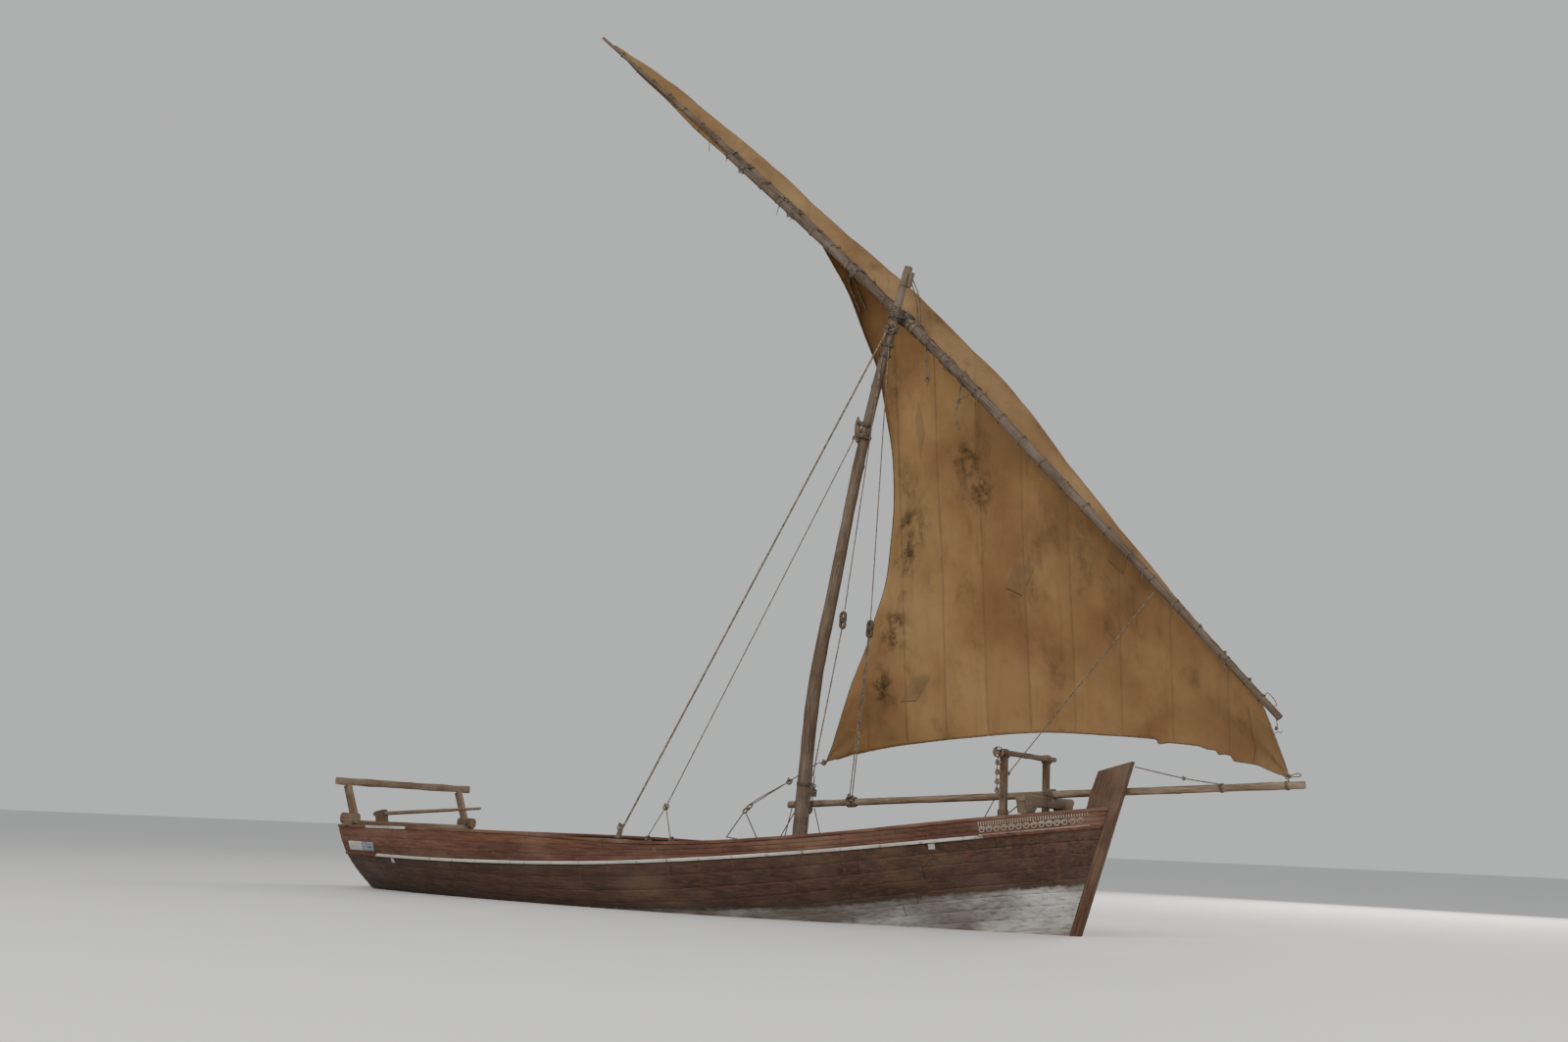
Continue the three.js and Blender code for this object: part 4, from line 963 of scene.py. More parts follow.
def boards(x_low, x_high, top, thick, width, seed):
    """Boards side by side: each is clipped to the hull's breadth along x, then cut at random butts.
    A ring is a rounded rectangle from the board's low y to its high y."""
    rng = np.random.default_rng(seed)
    solids = []
    x = np.linspace(x_low, x_high, 200)
    reach = width_at(x, top(x) - thick, PLANK) - 0.004
    for index, y in enumerate(np.arange(-1.96, 1.95, width)):
        low, high = np.clip(y + 0.003, -reach, reach), np.clip(y + width - 0.003, -reach, reach)
        good = np.flatnonzero(high - low > 0.022)
        if len(good) < 6:
            continue
        ends = x[good[[0, -1]]]
        butts = np.sort(rng.uniform(*ends, max(1, int((ends[1] - ends[0]) / 2.6))))
        marks = np.r_[ends[0], butts[(butts - ends[0] > 0.4) & (ends[1] - butts > 0.4)], ends[1]]
        for a, b in zip(marks[:-1], marks[1:]):
            along = np.linspace(a + 0.0015, b - 0.0015, max(4, int((b - a) / 0.12)))
            side_low, side_high = np.interp(along, x, low), np.interp(along, x, high)
            out, up = rounded(side_high - side_low, np.full(len(along), thick), 0.005, 2)
            lift = top(along) - thick / 2 + 0.0012 * rng.uniform(-1, 0)
            centre = (side_low + side_high) / 2
            rings = together(along[:, None], centre[:, None] + out, lift[:, None] + up)
            share = closed(rings[..., 1]) - y
            number = seed * 30 + index + np.clip(share / width, 0.02, 0.98)
            solids.append(loft(rings, together(along[:, None], number)))
    return solids


DECK_ENDS = ((1, "poop", -5.755, POOP_FORE), (2, "fore", FORE_AFT, 6.36))
for seed, end, aft, fore in DECK_ENDS:
    deck = boards(aft, fore, deck_top, BOARD, 0.145, seed)
    build(f"{end}_deck_boards", deck, deck_planks, "hull", [f"{end}_deck"])
floor_boards = boards(-5.06, 5.16, lambda x: np.full(np.shape(x), FLOOR_TOP), 0.04, 0.165, 3)
build("hold_floor_boards", floor_boards, deck_planks, "hull", ["hold_floor"])

# %% Deck beams
def deck_beam(x, width, seed):
    """A beam from side to side, just under the deck boards."""
    z = float(deck_top(x)) - BOARD - 0.0555
    y = float(width_at(np.array(x), np.array(z), PLANK)) - 0.004
    return crosswise(x, y, z, width, 0.11, seed=seed, wander=0.003)


def carling(y, x0, x1, seed):
    """A lengthwise timber let in under the boards, following the sheer."""
    x = np.linspace(x0, x1, 30)
    high = np.stack([x, np.full(30, y), deck_top(x) - BOARD - 0.001], 1)
    return railed(high - np.array([0, 0, 0.08]), high, 0.035, seed=seed)


poop_timbers = [deck_beam(x, 0.08, 80 + k) for k, x in enumerate((-4.7, -4.2, -3.7, -3.2, -2.332))]
poop_timbers += [carling(y, -4.7, -2.332, 86) for y in (-0.45, 0.45)]
bare("poop_deck_timbers", poop_timbers, "poop_deck_beams")
fore_timbers = [deck_beam(x, 0.08, 90 + k) for k, x in enumerate((2.3, 3.3, 4.3, 5.3))]
fore_timbers.append(deck_beam(1.7, 0.156, 95))
fore_timbers += [carling(y, 1.7, 5.3, 96) for y in (-0.33, 0.33)]
bare("fore_deck_timbers", fore_timbers, "fore_deck_beams")

PARTNER_Z = 1.045
partner_timbers = [
    squared((1.68, y, PARTNER_Z), (2.26, y, PARTNER_Z), 0.10, 0.085, seed=97, edge=0.012)
    for y in (-0.18, 0.18)
]
partner_timbers += [
    crosswise(x, 0.23, PARTNER_Z + 0.004, 0.11, 0.083, seed=98, edge=0.012)
    for x in (1.79, 2.15)
]
bare("mast_partner_timbers", partner_timbers, "mast_partners")

# %% [markdown]
# ## Bow and stern furniture
# Two posts and a rail stand on the fore deck, a baulk with rounded ends lies over both gunwales to
# carry the anchor, a sill and two raked posts hold up the taffrail. All are squared timbers whose
# edges have been rounded by hands and ropes.

# %% Bow frame
FRAME_X, FRAME_Y, RAIL_Z = 5.44, 0.655, 2.235
for side, sign in SIDES:
    foot = float(deck_top(FRAME_X)) + 0.0005
    over = (FRAME_X, sign * FRAME_Y)
    bow_post = squared((*over, foot), (*over, RAIL_Z - 0.0005), 0.092, 0.092, (0, 1, 0), 0.012, 101)
    post_wraps = coil((*over, foot + 0.09), (0, 0, 1), 0.068, 0.008, 6.5, 0.0165, 6)
    bare(f"bow_post_{side}_timber", [bow_post, post_wraps], f"bow_post_{side}")
bow_rail = crosswise(FRAME_X, 0.9, RAIL_Z + 0.035, 0.09, 0.07, edge=0.016, seed=103, wander=0.004)
rail_wraps = [
    coil((FRAME_X, sign * FRAME_Y, RAIL_Z + 0.02), (0.25, 1, 0.1), 0.062, 0.007, 5.5, 0.016, 6)
    for _, sign in SIDES
]
bare("bow_rail_timber", [bow_rail, *rail_wraps], "bow_rail")

BEAM_X, BEAM_TOP = 5.73, 1.745
rail_top = float(through(SHEER, BEAM_X)) + 0.0005
UNDERSIDE = [
    (-0.77, 1.665), (-0.74, 1.635), (-0.70, rail_top + 0.04), (-0.69, rail_top), (-0.48, rail_top),
    (-0.38, rail_top + 0.09)
]
under = np.array(UNDERSIDE + [(-y, z) for y, z in UNDERSIDE[::-1]])
top_z = np.full(len(under), BEAM_TOP)
top_z[[0, -1]] = 1.725
beam_low = np.stack([np.full(len(under), BEAM_X), under[:, 0], under[:, 1]], 1)
beam_high = np.stack([np.full(len(under), BEAM_X), under[:, 0], top_z], 1)
beam = railed(beam_low, beam_high, 0.074, (1, 0, 0), 0.022, 104, 0.004, rows=67)
bare("anchor_beam_timber", [beam], "anchor_beam")

# %% Stern furniture
sill_low = float(through(SHEER, -5.5)) - 0.015
sill = crosswise(-5.54, 1.4, sill_low + 0.0425, 0.2, 0.085, edge=0.014, seed=105, wander=0.003)
bare("stern_sill_timber", [sill], "stern_sill")
RAIL_X, RAIL_LOW = -5.735, 1.6
for side, sign in SIDES:
    foot, top = (-5.51, sign * 1.27, sill_low + 0.086), (RAIL_X, sign * 1.27, RAIL_LOW - 0.0005)
    leg = squared(foot, top, 0.1, 0.1, (0, 1, 0), 0.014, 106, 0.004)
    bare(f"taffrail_post_{side}_timber", [leg], f"taffrail_post_{side}")
taffrail = crosswise(RAIL_X, 1.5, RAIL_LOW + 0.06, 0.11, 0.12, edge=0.024, seed=107, wander=0.005)
bare("taffrail_timber", [taffrail], "taffrail")

# %% [markdown]
# ## The yard's line
# The yard is two trunks side by side. Their centre lines are the same formula as in the solid: a
# straight line from the low end to the peak, bowed up in the middle, with small shifts up and to port
# that let the two trunks lie against each other along the splice.

# %% Yard line
YARD_LOW, YARD_PEAK = np.array([8.785, 0.150, 2.793]), np.array([-2.845, 0.350, 14.365])
YARD_UP, YARD_BOW = np.array([0.705, 0.0, 0.709]), 0.250
YARD_LENGTH = float(np.linalg.norm(YARD_PEAK - YARD_LOW))
YARD_ALONG = (YARD_PEAK - YARD_LOW) / YARD_LENGTH
LOWER_SPAR = {
    "ends": (0.0, 0.765),
    "lift": [(0, -.020), (.05, -.035), (.3, -.035), (.42, .008), (.6, 0), (.765, -.035)],
    "side": [(0, 0), (.25, 0), (.4, -.035), (.765, -.035)],
    "radius": [(0, .046), (.12, .053), (.25, .067), (.45, .070), (.765, .050)],
}
UPPER_SPAR = {
    "ends": (0.385, 1.0),
    "lift": [(.385, -.035), (.6, .010), (.765, .015), (1, 0)],
    "side": [(.385, .100), (.765, .100), (.95, 0), (1, 0)],
    "radius": [(.385, .060), (.6, .068), (.72, .062), (.81, .042), (1, .026)],
}
HEAD = {
    "lift": [(0, -.010), (.05, -.020), (.3, -.020), (.42, -.010), (.6, .010), (.765, .015), (1, 0)],
    "side": [
        (0, .042), (.12, .049), (.25, .063), (.34, .065), (.41, .150), (.49, .165), (.55, .174),
        (.62, .180), (.68, .176), (.74, .160), (.8, .126), (.8575, .084), (.95, .027), (1, .022),
    ],
}


def yard_at(t, line):
    """Point beside the yard's line at share t, by the line's rows of lift and of offset to port."""
    t = np.asarray(t, float)
    bow = 4 * YARD_BOW * t * (1 - t) * (1 - 0.35 * t) + through(line["lift"], t)
    point = YARD_LOW + (YARD_PEAK - YARD_LOW) * t[..., None] + YARD_UP * bow[..., None]
    return point + np.array([0, 1, 0]) * through(line["side"], t)[..., None]


def around_yard(t, angle, out):
    """Point at an angle round both trunks: the port half circles the trunk furthest to port, the
    starboard half the other one, and a taut cord crosses straight from one circle to the other."""
    port = (np.sin(angle) > 0)[..., None]
    upper = np.where(port, t[..., None] >= UPPER_SPAR["ends"][0], t[..., None] > LOWER_SPAR["ends"][1])
    centre = np.where(upper, yard_at(t, UPPER_SPAR), yard_at(t, LOWER_SPAR))
    radius = np.where(upper[..., 0], through(UPPER_SPAR["radius"], t), through(LOWER_SPAR["radius"], t)) + out
    way = np.cos(angle)[..., None] * YARD_UP + np.sin(angle)[..., None] * np.array([0, 1.0, 0])
    return centre + radius[..., None] * way


print("yard", round(YARD_LENGTH, 2), "metres")

# %% [markdown]
# ## The sail
# A lateen sail is bent to the yard all along its head. Its surface is one formula: u runs up the yard
# from tack to peak, v from the yard to the free edge, and each u has a cubic curve from the yard's
# point to the edge's. Two handles pull that curve forward, outward and up, by amounts that swell in
# the middle of the sail and fade towards tack and peak. That is how the wind rolls the cloth over the
# yard.

# %% Sail surface
TACK, CLEW = (8.857, 0.190, 2.060), (0.939, 2.350, 2.277)
HEAD_TOP, HEAD_CLEAR, CLEW_AT = 0.985, 0.018, 0.40
FOOT = curve_through([TACK, (7.5, 1.07, 2.48), (4.4, 2.29, 2.731), (1.74, 2.415, 2.465), CLEW], 500)
LEECH_MARKS = [(1.242, 2.396, 3.29), (1.856, 2.38, 4.986), (2.114, 2.122, 6.655), (2.089, 1.563, 8.21)]
LEECH_MARKS += [(1.93, 1.08, 9.11), (1.34, 0.60, 10.42), (0.30, 0.52, 11.30), (-1.2, 0.45, 12.72)]
LEECH = curve_through([CLEW, *LEECH_MARKS, yard_at(HEAD_TOP, HEAD) + np.array([0, HEAD_CLEAR, 0])], 900)
PULL = np.array([0.45, 0.70, 0.52]) / np.linalg.norm([0.45, 0.70, 0.52])
HEAD_PULL = [
    (0, 0), (.04, .10), (.12, .34), (.25, 1.0), (.36, 1.8), (.5, 1.85), (.6, 1.3), (.68, .85), (.78, .58),
    (.88, .42), (1, .05)
]
EDGE_PULL = [
    (0, 0), (.04, .10), (.12, .3), (.25, .5), (.4, .6), (.5, .7), (.6, .5), (.68, .34), (.78, .42),
    (.88, .32), (1, .03)
]
REACH, SAG, LEAN, LUFF_START = 0.16, 0.744, 0.33, 0.032


def free_edge(u):
    """The sail's free edge opposite the yard's point u: the foot first, then the leech."""
    w = np.clip((u - CLEW_AT) / (1 - CLEW_AT), 0, 1)
    leech = on_line(LEECH, w * (1 + SAG * (1 - w) * w))
    return np.where((u < CLEW_AT)[..., None], on_line(FOOT, u / CLEW_AT), leech)


def sail_at(u, v):
    """Cubic curve in v: (1-v)^3 H + 3(1-v)^2 v (H + pull) + 3(1-v) v^2 (E + LEAN (H-E) + pull) + v^3 E,
    where E is the mean of nine edge points over a reach that narrows to nothing at the edge."""
    bent_at = u + LUFF_START * np.clip(1 - u / 0.12, 0, 1) ** 2
    head = yard_at(bent_at, HEAD) + np.array([0, HEAD_CLEAR, 0])
    reach = np.minimum(np.minimum(REACH * (1 - v), u), 1 - u)
    edge = sum(free_edge(u + reach * k / 4) for k in range(-4, 5)) / 9
    first = head + PULL * through(HEAD_PULL, u)[..., None]
    second = edge + (head - edge) * LEAN + PULL * through(EDGE_PULL, u)[..., None]
    v = v[..., None]
    return (1 - v) ** 3 * head + 3 * (1 - v) ** 2 * v * first + 3 * (1 - v) * v**2 * second + v**3 * edge


def area_of(grid):
    """Area of a grid surface: the sum of its quads' cross products."""
    a = np.cross(grid[1:, :-1] - grid[:-1, :-1], grid[:-1, 1:] - grid[:-1, :-1])
    return float(np.linalg.norm(a, axis=2).sum())


def normals_of(grid):
    """Unit normals of a grid from the differences of its rows and columns, away from the yard."""
    n = np.cross(np.gradient(grid, axis=1), np.gradient(grid, axis=0))
    n /= np.linalg.norm(n, axis=-1)[..., None] + TINY
    return n * np.sign(n[grid.shape[0] // 3, grid.shape[1] // 3] @ PULL)


FOOT_ROWS, LEECH_ROWS, ROWS_ACROSS = 250, 150, 108
foot_rows = np.linspace(0, CLEW_AT / HEAD_TOP, FOOT_ROWS)
share_u = np.concatenate([foot_rows[:-1], np.linspace(CLEW_AT / HEAD_TOP, 1, LEECH_ROWS)])
uu, vv = np.meshgrid(share_u * HEAD_TOP, np.linspace(0, 1, ROWS_ACROSS), indexing="ij")
sail_grid = sail_at(uu, vv)
print("sail area", round(area_of(sail_grid), 2), "square metres")

# %% [markdown]
# ## Canvas
# Dirty cotton canvas is thin enough to glow when light comes from behind. A Translucent shader mixed
# with the cloth's own surface does that. The canvas's tan is partly its dirt and partly painted light,
# the warm glow of light shining through the cloth. The weave is two crossed waves, damp and mildew are
# broad blotches, and each cloth took its dirt a little differently; the map counts metres across the
# cloths and up them.

# %% Canvas finish
CLOTH_WIDTH, CLOTH_START = 0.62, 0.21
STAINS = [
    (4.37, 6.78, 0.30), (4.56, 6.28, 0.26), (3.46, 5.85, 0.34),
    (3.36, 5.45, 0.30), (3.15, 4.3, 0.34), (2.94, 3.4, 0.30),
]


def stained(tree, split, spots):
    """Share of stain: the most of the spots, each fading with the distance from its place in metres
    across and up the cloths, and broken up by small blots."""
    total = 0.0
    for across_at, up_at, size in STAINS:
        a = less(tree, split.outputs[0], across_at)
        b = times(tree, less(tree, split.outputs[1], up_at), 0.7)
        near = stretch(tree, far(tree, a, b), 0.15 * size, size, 1.0, 0.0)
        total = maths(tree, "MAXIMUM", total, near)
    return times(tree, total, stretch(tree, spots, 0.42, 0.62, 0.0, 0.9))


def canvas_finish(name, pale, brown, stain, glow_share):
    """Canvas by UV in metres across the cloths and up them: weave, tone of each cloth, stains, glow."""
    material, tree, shader = start(name, 0.92, Specular_IOR_Level=0.1)
    split = add(tree, "SeparateXYZ", {0: add(tree, "TexCoord").outputs["UV"]})
    cloth = maths(tree, "DIVIDE", less(tree, split.outputs[0], CLOTH_START), CLOTH_WIDTH)
    odd = odd_number(tree, maths(tree, "FLOOR", cloth), 7.7)
    edge = apart(tree, maths(tree, "FRACT", cloth), 0.5)
    wave = {"Vector": place(tree, source="UV"), "Scale": 160.0, "Distortion": 1.5}
    threads = [add(tree, "TexWave", wave, bands_direction=way).outputs[0] for way in "XY"]
    cloud = noise(tree, 0.55, 5.0, 0.6)
    blotch = noise(tree, 1.9, 7.0, 0.68, (1.0, 1.0, 0.55))
    spots = noise(tree, 6.5, 5.0, 0.75)
    streak = noise(tree, 1.6, 5.0, 0.65, (3.2, 0.35, 1.0), "UV")
    spotted = stretch(tree, spots, 0.35, 0.62, 0.3, 1.0)
    cloth_colour = layered(
        tree, pale, (stretch(tree, cloud, 0.3, 0.7), brown), (times(tree, odd, 0.28), brown),
        (stretch(tree, streak, 0.5, 0.72, 0.0, 0.4), brown),
        (times(tree, stretch(tree, blotch, 0.50, 0.72, 0.0, 0.5), spotted), stain),
        (stained(tree, split, noise(tree, 5.0, 9.0, 0.72)), stain),
        (times(tree, stretch(tree, edge, 0.44, 0.5, 0.0, 0.14), stretch(tree, spots, 0.35, 0.7)), stain),
    )
    finish_with(tree, shader, cloth_colour, times(tree, threads[0], threads[1]), 0.0004, 0.6)
    glow = add(tree, "BsdfTranslucent", {"Color": cloth_colour})
    both = add(tree, "MixShader", {0: glow_share, 1: shader.outputs[0], 2: glow.outputs[0]})
    tree.links.new(both.outputs[0], tree.nodes["Material Output"].inputs["Surface"])
    return material


# Both rows' warm tan is partly the canvas's own dirty colour and partly painted light, the orange glow of
# light through the cloth.
CANVAS_TONES = (0.46, 0.315, 0.16), (0.28, 0.165, 0.08), (0.085, 0.052, 0.028)
DOUBLED_TONES = (0.43, 0.293, 0.15), (0.28, 0.168, 0.08), (0.08, 0.05, 0.028)
canvas = canvas_finish("sail_canvas", *CANVAS_TONES, 0.42)
doubled_canvas = canvas_finish("doubled_canvas", *DOUBLED_TONES, 0.38)

# %% [markdown]
# ## The sail's cloth
# The large surface is right already, so the cloth adds what hands and wind do: each cloth bellies
# between its seams, the head is drawn up at every roband and hangs in small scallops between, folds
# fan out from clew and tack, and the leech flutters. These are small moves along the surface's normal.

# %% Sail cloth
ACROSS = np.array([0.903, 0.429, 0.060])
ROBAND_GAP = 0.46
HALF_CLOTH = 0.0015
FOOT_NOTCHES = [
    (0, 0), (0.07, 0), (0.12, 0.068), (0.127, 0.078), (0.137, 0.018), (0.155, 0.038), (0.163, 0.062),
    (0.17, 0.012),
    (0.188, 0.026), (0.21, 0.006), (0.276, 0.03), (0.29, 0.062), (0.296, 0.064), (0.303, 0), (0.42, 0.010),
    (0.55, -0.010), (0.70, 0.008), (0.86, -0.006), (0.935, 0.012), (0.942, -0.006), (0.975, 0.018),
    (0.982, -0.004),
    (1, 0), (3, 0),
]


def sail_moves(grid):
    """How far the cloth stands off its surface: belly of each cloth, folds that fan from the two
    corners as sines of the angle, slow waves, and a ripple near the leech."""
    within = ((grid @ ACROSS - CLOTH_START) / CLOTH_WIDTH) % 1
    inner = smooth(vv / 0.10) * smooth((1 - vv) / 0.06)
    belly = 0.012 * (1 - np.abs(2 * within - 1) ** 3) * inner
    from_clew = np.linalg.norm(grid - np.array(CLEW), axis=2)
    rise = np.arctan2(grid[..., 2] - CLEW[2], grid[..., 0] - CLEW[0])
    clew = 0.026 * np.sin(11 * rise) * np.exp(-from_clew / 1.4) * smooth(from_clew / 0.3)
    from_tack = np.linalg.norm(grid - np.array(TACK), axis=2)
    lean = np.arctan2(grid[..., 2] - TACK[2], TACK[0] - grid[..., 0])
    tack = 0.022 * np.sin(13 * lean) * np.exp(-from_tack / 1.2) * smooth(from_tack / 0.3)
    gathers = np.cos(2 * np.pi * uu * YARD_LENGTH / ROBAND_GAP)
    pucker = 0.010 * gathers * np.exp(-((vv - 0.04) / 0.05) ** 2) * smooth(vv / 0.02)
    leech = 0.02 * np.sin(grid[..., 2] * 5.2) * smooth((vv - 0.8) / 0.2) * smooth((uu - 0.42) / 0.1)
    return belly + clew + tack + np.abs(pucker) + 0.020 * waves(grid, 2.2, 31) * inner + leech


down = np.gradient(sail_grid, axis=1)
down /= np.linalg.norm(down, axis=2)[..., None]
beat = np.abs(np.sin(np.pi * uu * YARD_LENGTH / ROBAND_GAP))
scallop = 0.022 * beat * np.exp(-vv / 0.02) * smooth((HEAD_TOP - uu) / 0.03)
notch = np.interp(uu / CLEW_AT, *np.array(FOOT_NOTCHES).T) * smooth((vv - 0.8) / 0.2)
sail_normal = normals_of(sail_grid)
sail_moved = sail_grid + sail_normal * sail_moves(sail_grid)[..., None]
sail_moved = sail_moved + down * (scallop + notch)[..., None]
sail_normal = normals_of(sail_moved)
sail_uv = np.stack([sail_grid @ ACROSS, sail_grid[..., 2]], axis=-1)
cloth = two_faced(sail_moved + sail_normal * HALF_CLOTH, sail_moved - sail_normal * HALF_CLOTH, sail_uv)
sail = build("sail_canvas_set", [cloth], canvas, "yard", ["sail"], sharp=120.0)

# %% [markdown]
# The cloths are sewn edge over edge, so a seam is a narrow strip of doubled cloth, a little proud on
# both faces. Where the count of cloths passes a whole number inside one cell of the grid, two of the
# cell's four edges are crossed, and a piece of seam joins the two crossings. Cells that share an edge
# share its crossing, so the pieces meet without any search for the line.

# %% Sail seams
SEAM_HALF, SEAM_RISE = 0.014, 0.0028


def crossings(a, b):
    """Where the cloth count passes a whole number between corners a and b: mask, point and normal."""
    qa, qb = a[..., 6], b[..., 6]
    mark = np.maximum(np.floor(qa), np.floor(qb))
    crossed = np.floor(qa) != np.floor(qb)
    t = np.where(crossed, (mark - qa) / np.where(crossed, qb - qa, 1), 0)[..., None]
    return crossed, mix(a[..., :6], b[..., :6], t)


def seam_strips(face):
    """Strips over all seams of one face: at each crossing four points make a low trapezium, and
    three quads join the trapeziums of a cell's two crossings."""
    count = ((sail_grid @ ACROSS - CLOTH_START) / CLOTH_WIDTH)[..., None]
    corner = np.concatenate([sail_moved, sail_normal * face, count], axis=-1)
    p, q, r, s = corner[:-1, :-1], corner[1:, :-1], corner[1:, 1:], corner[:-1, 1:]
    found = [crossings(*pair) for pair in ((p, q), (q, r), (s, r), (p, s))]
    crossed = np.stack([f[0] for f in found], axis=-1).reshape(-1, 4)
    values = np.stack([f[1] for f in found], axis=-2).reshape(-1, 4, 6)
    cells = crossed.sum(axis=1) == 2
    pick = np.argsort(~crossed[cells], axis=1, kind="stable")[:, :2]
    ends = np.take_along_axis(values[cells], pick[..., None], axis=1)
    at, normal = ends[..., :3], ends[..., 3:]
    side = ACROSS - normal * (normal @ ACROSS)[..., None]
    side /= np.linalg.norm(side, axis=-1)[..., None]
    offs = [(-SEAM_HALF, 0.0), (-0.8 * SEAM_HALF, SEAM_RISE), (0.8 * SEAM_HALF, SEAM_RISE), (SEAM_HALF, 0.0)]
    ring = np.stack([at + side * w + normal * (HALF_CLOTH + h) for w, h in offs], axis=2)
    points = ring.reshape(-1, 3)
    first = np.arange(len(ring))[:, None] * 8 + np.arange(3)
    quads = np.stack([first, first + 1, first + 5, first + 4], -1).reshape(-1, 4)
    ahead_of = np.cross(points[quads[:, 1]] - points[quads[:, 0]], points[quads[:, 3]] - points[quads[:, 0]])
    away = np.einsum("ij,ij->i", ahead_of, normal[:, 0].repeat(3, axis=0)) > 0
    quads = np.where(away[:, None], quads, quads[:, ::-1])
    faces = halves(quads)
    uv = np.stack([points @ ACROSS, points[:, 2]], axis=-1)
    return {"points": points, "faces": faces, "uv": uv[faces], "slot": np.zeros(len(faces), int)}


seams = build("sail_seams", [seam_strips(1), seam_strips(-1)], doubled_canvas, "yard", sharp=120.0)

# %% [markdown]
# Old sails are patched where a spar or a block chafed them. A patch is the sail's own surface inside a
# small window, lifted by a cloth's thickness, with its corners left a little crooked.

# %% Patches and corner doublings
def on_grid(grid, u, v):
    """Value of a grid at shares u and v, mixed from the four nearest corners."""
    n, m = grid.shape[:2]
    a, b = np.interp(u, share_u, np.arange(n)), np.clip(v, 0, 1) * (m - 1)
    i, j = np.minimum(a.astype(int), n - 2), np.minimum(b.astype(int), m - 2)
    f, g = (a - i)[..., None], (b - j)[..., None]
    low = (1 - g) * grid[i, j] + g * grid[i, j + 1]
    high = (1 - g) * grid[i + 1, j] + g * grid[i + 1, j + 1]
    return (1 - f) * low + f * high


PATCHES = [
    (0.300, 0.322, 0.55, 0.62), (0.520, 0.548, 0.62, 0.68), (0.205, 0.226, 0.30, 0.40),
    (0.350, 0.366, 0.82, 0.88),
    (0.610, 0.636, 0.42, 0.50), (0.000, 0.034, 0.55, 1.00), (0.388, 0.428, 0.93, 1.00),
    (0.960, 1.000, 0.00, 1.00),
]


def patch(u0, u1, v0, v1, seed):
    """A window of the sail, its borders bent by a few millimetres, doubled on both faces."""
    u, v = np.meshgrid(np.linspace(u0, u1, 15), np.linspace(v0, v1, 15), indexing="ij")
    crook = 0.0012 * waves(np.stack([u * 40, v * 12, 0 * u], -1), 1.3, seed)
    u, v = u + crook, v + 2 * crook * (v1 < 1)
    middle, normal = on_grid(sail_moved, u, v), on_grid(sail_normal, u, v)
    uv = on_grid(sail_uv, u, v) + 0.31 * seed
    return two_faced(middle + normal * (HALF_CLOTH + 0.0016), middle - normal * (HALF_CLOTH + 0.0016), uv)


patch_parts = [patch(*window, 7 + k) for k, window in enumerate(PATCHES)]
patches = build("sail_patches", patch_parts, doubled_canvas, "yard", sharp=120.0)

# %% [markdown]
# A rope is sewn all round the sail to take the load, and short cords, the robands, tie its head to
# the yard every half metre. A cord goes twice round the trunks, bulges over the bolt rope, and ends
# in a knot with two loose ends.

# %% Bolt rope and robands
def cordage(name, parts, body="hull", finish=rope_fibre, replaces=()):
    """A piece of rope work, shaded smooth all round."""
    return build(name, parts, finish, body, replaces, sharp=180.0)


def ropes(*rows):
    """Ropes from rows that hold the marks of one rope and then its radius."""
    return [rope(marks, radius) for *marks, radius in rows]


def in_finish(slot, *parts):
    """The same solids in another of the piece's finishes."""
    return [dict(part, slot=slot) for part in parts]


def beside_yard(t, angle, out):
    """One point at an angle round both trunks."""
    return around_yard(np.array([t]), np.array([angle]), out)[0]


def yard_coil(t, turns, pitch, thick, out, bulge=0.0, phase=0.0, sides=6, steps=22):
    """A cord wound round both trunks from share t on, bulging to port to take the sail's head in."""
    a = np.linspace(0, 2 * np.pi * turns, int(steps * turns)) + phase
    share = t + (a - phase) / (2 * np.pi) * pitch / YARD_LENGTH
    off = out + thick + bulge * np.clip(np.sin(a), 0, 1) ** 3
    return tube(around_yard(np.clip(share, 0, 1), a, off), thick, sides)


BOLT_RADIUS, MOST_BULGE = 0.008, 0.045
head_edge, foot_edge = sail_moved[:, 0], sail_moved[:, -1]
bolt_ropes = [rope(line, BOLT_RADIUS, 0.085, 8, 8) for line in (foot_edge, sail_moved[0], head_edge)]
bolt = cordage("sail_bolt_rope", bolt_ropes, "yard")

rng = np.random.default_rng(8)
roband_parts = []
for t in np.arange(0.037, 0.985, ROBAND_GAP / YARD_LENGTH):
    thick = rng.uniform(0.0038, 0.0055)
    spread = np.linalg.norm(yard_at(t, HEAD) - beside_yard(t, 1.57, 0.0))
    bulge = float(min(MOST_BULGE, spread + HEAD_CLEAR + BOLT_RADIUS))
    roband_parts.append(yard_coil(t, rng.integers(2, 4), 0.011, thick, 0.001, bulge, rng.uniform(0, 3)))
    tie = beside_yard(t + 0.0006, rng.uniform(-0.5, 0.6), 0.012)
    roband_parts.append(knot(tie, 0.016, thick))
    for _ in range(2):
        end = tie + np.array([rng.uniform(-0.04, 0.05), rng.uniform(-0.05, 0.02), rng.uniform(-0.10, 0.07)])
        bend = (tie + end) / 2 + rng.uniform(-0.015, 0.015, 3)
        roband_parts.append(tube([tie, bend, end], thick * 0.9, 6, 9))

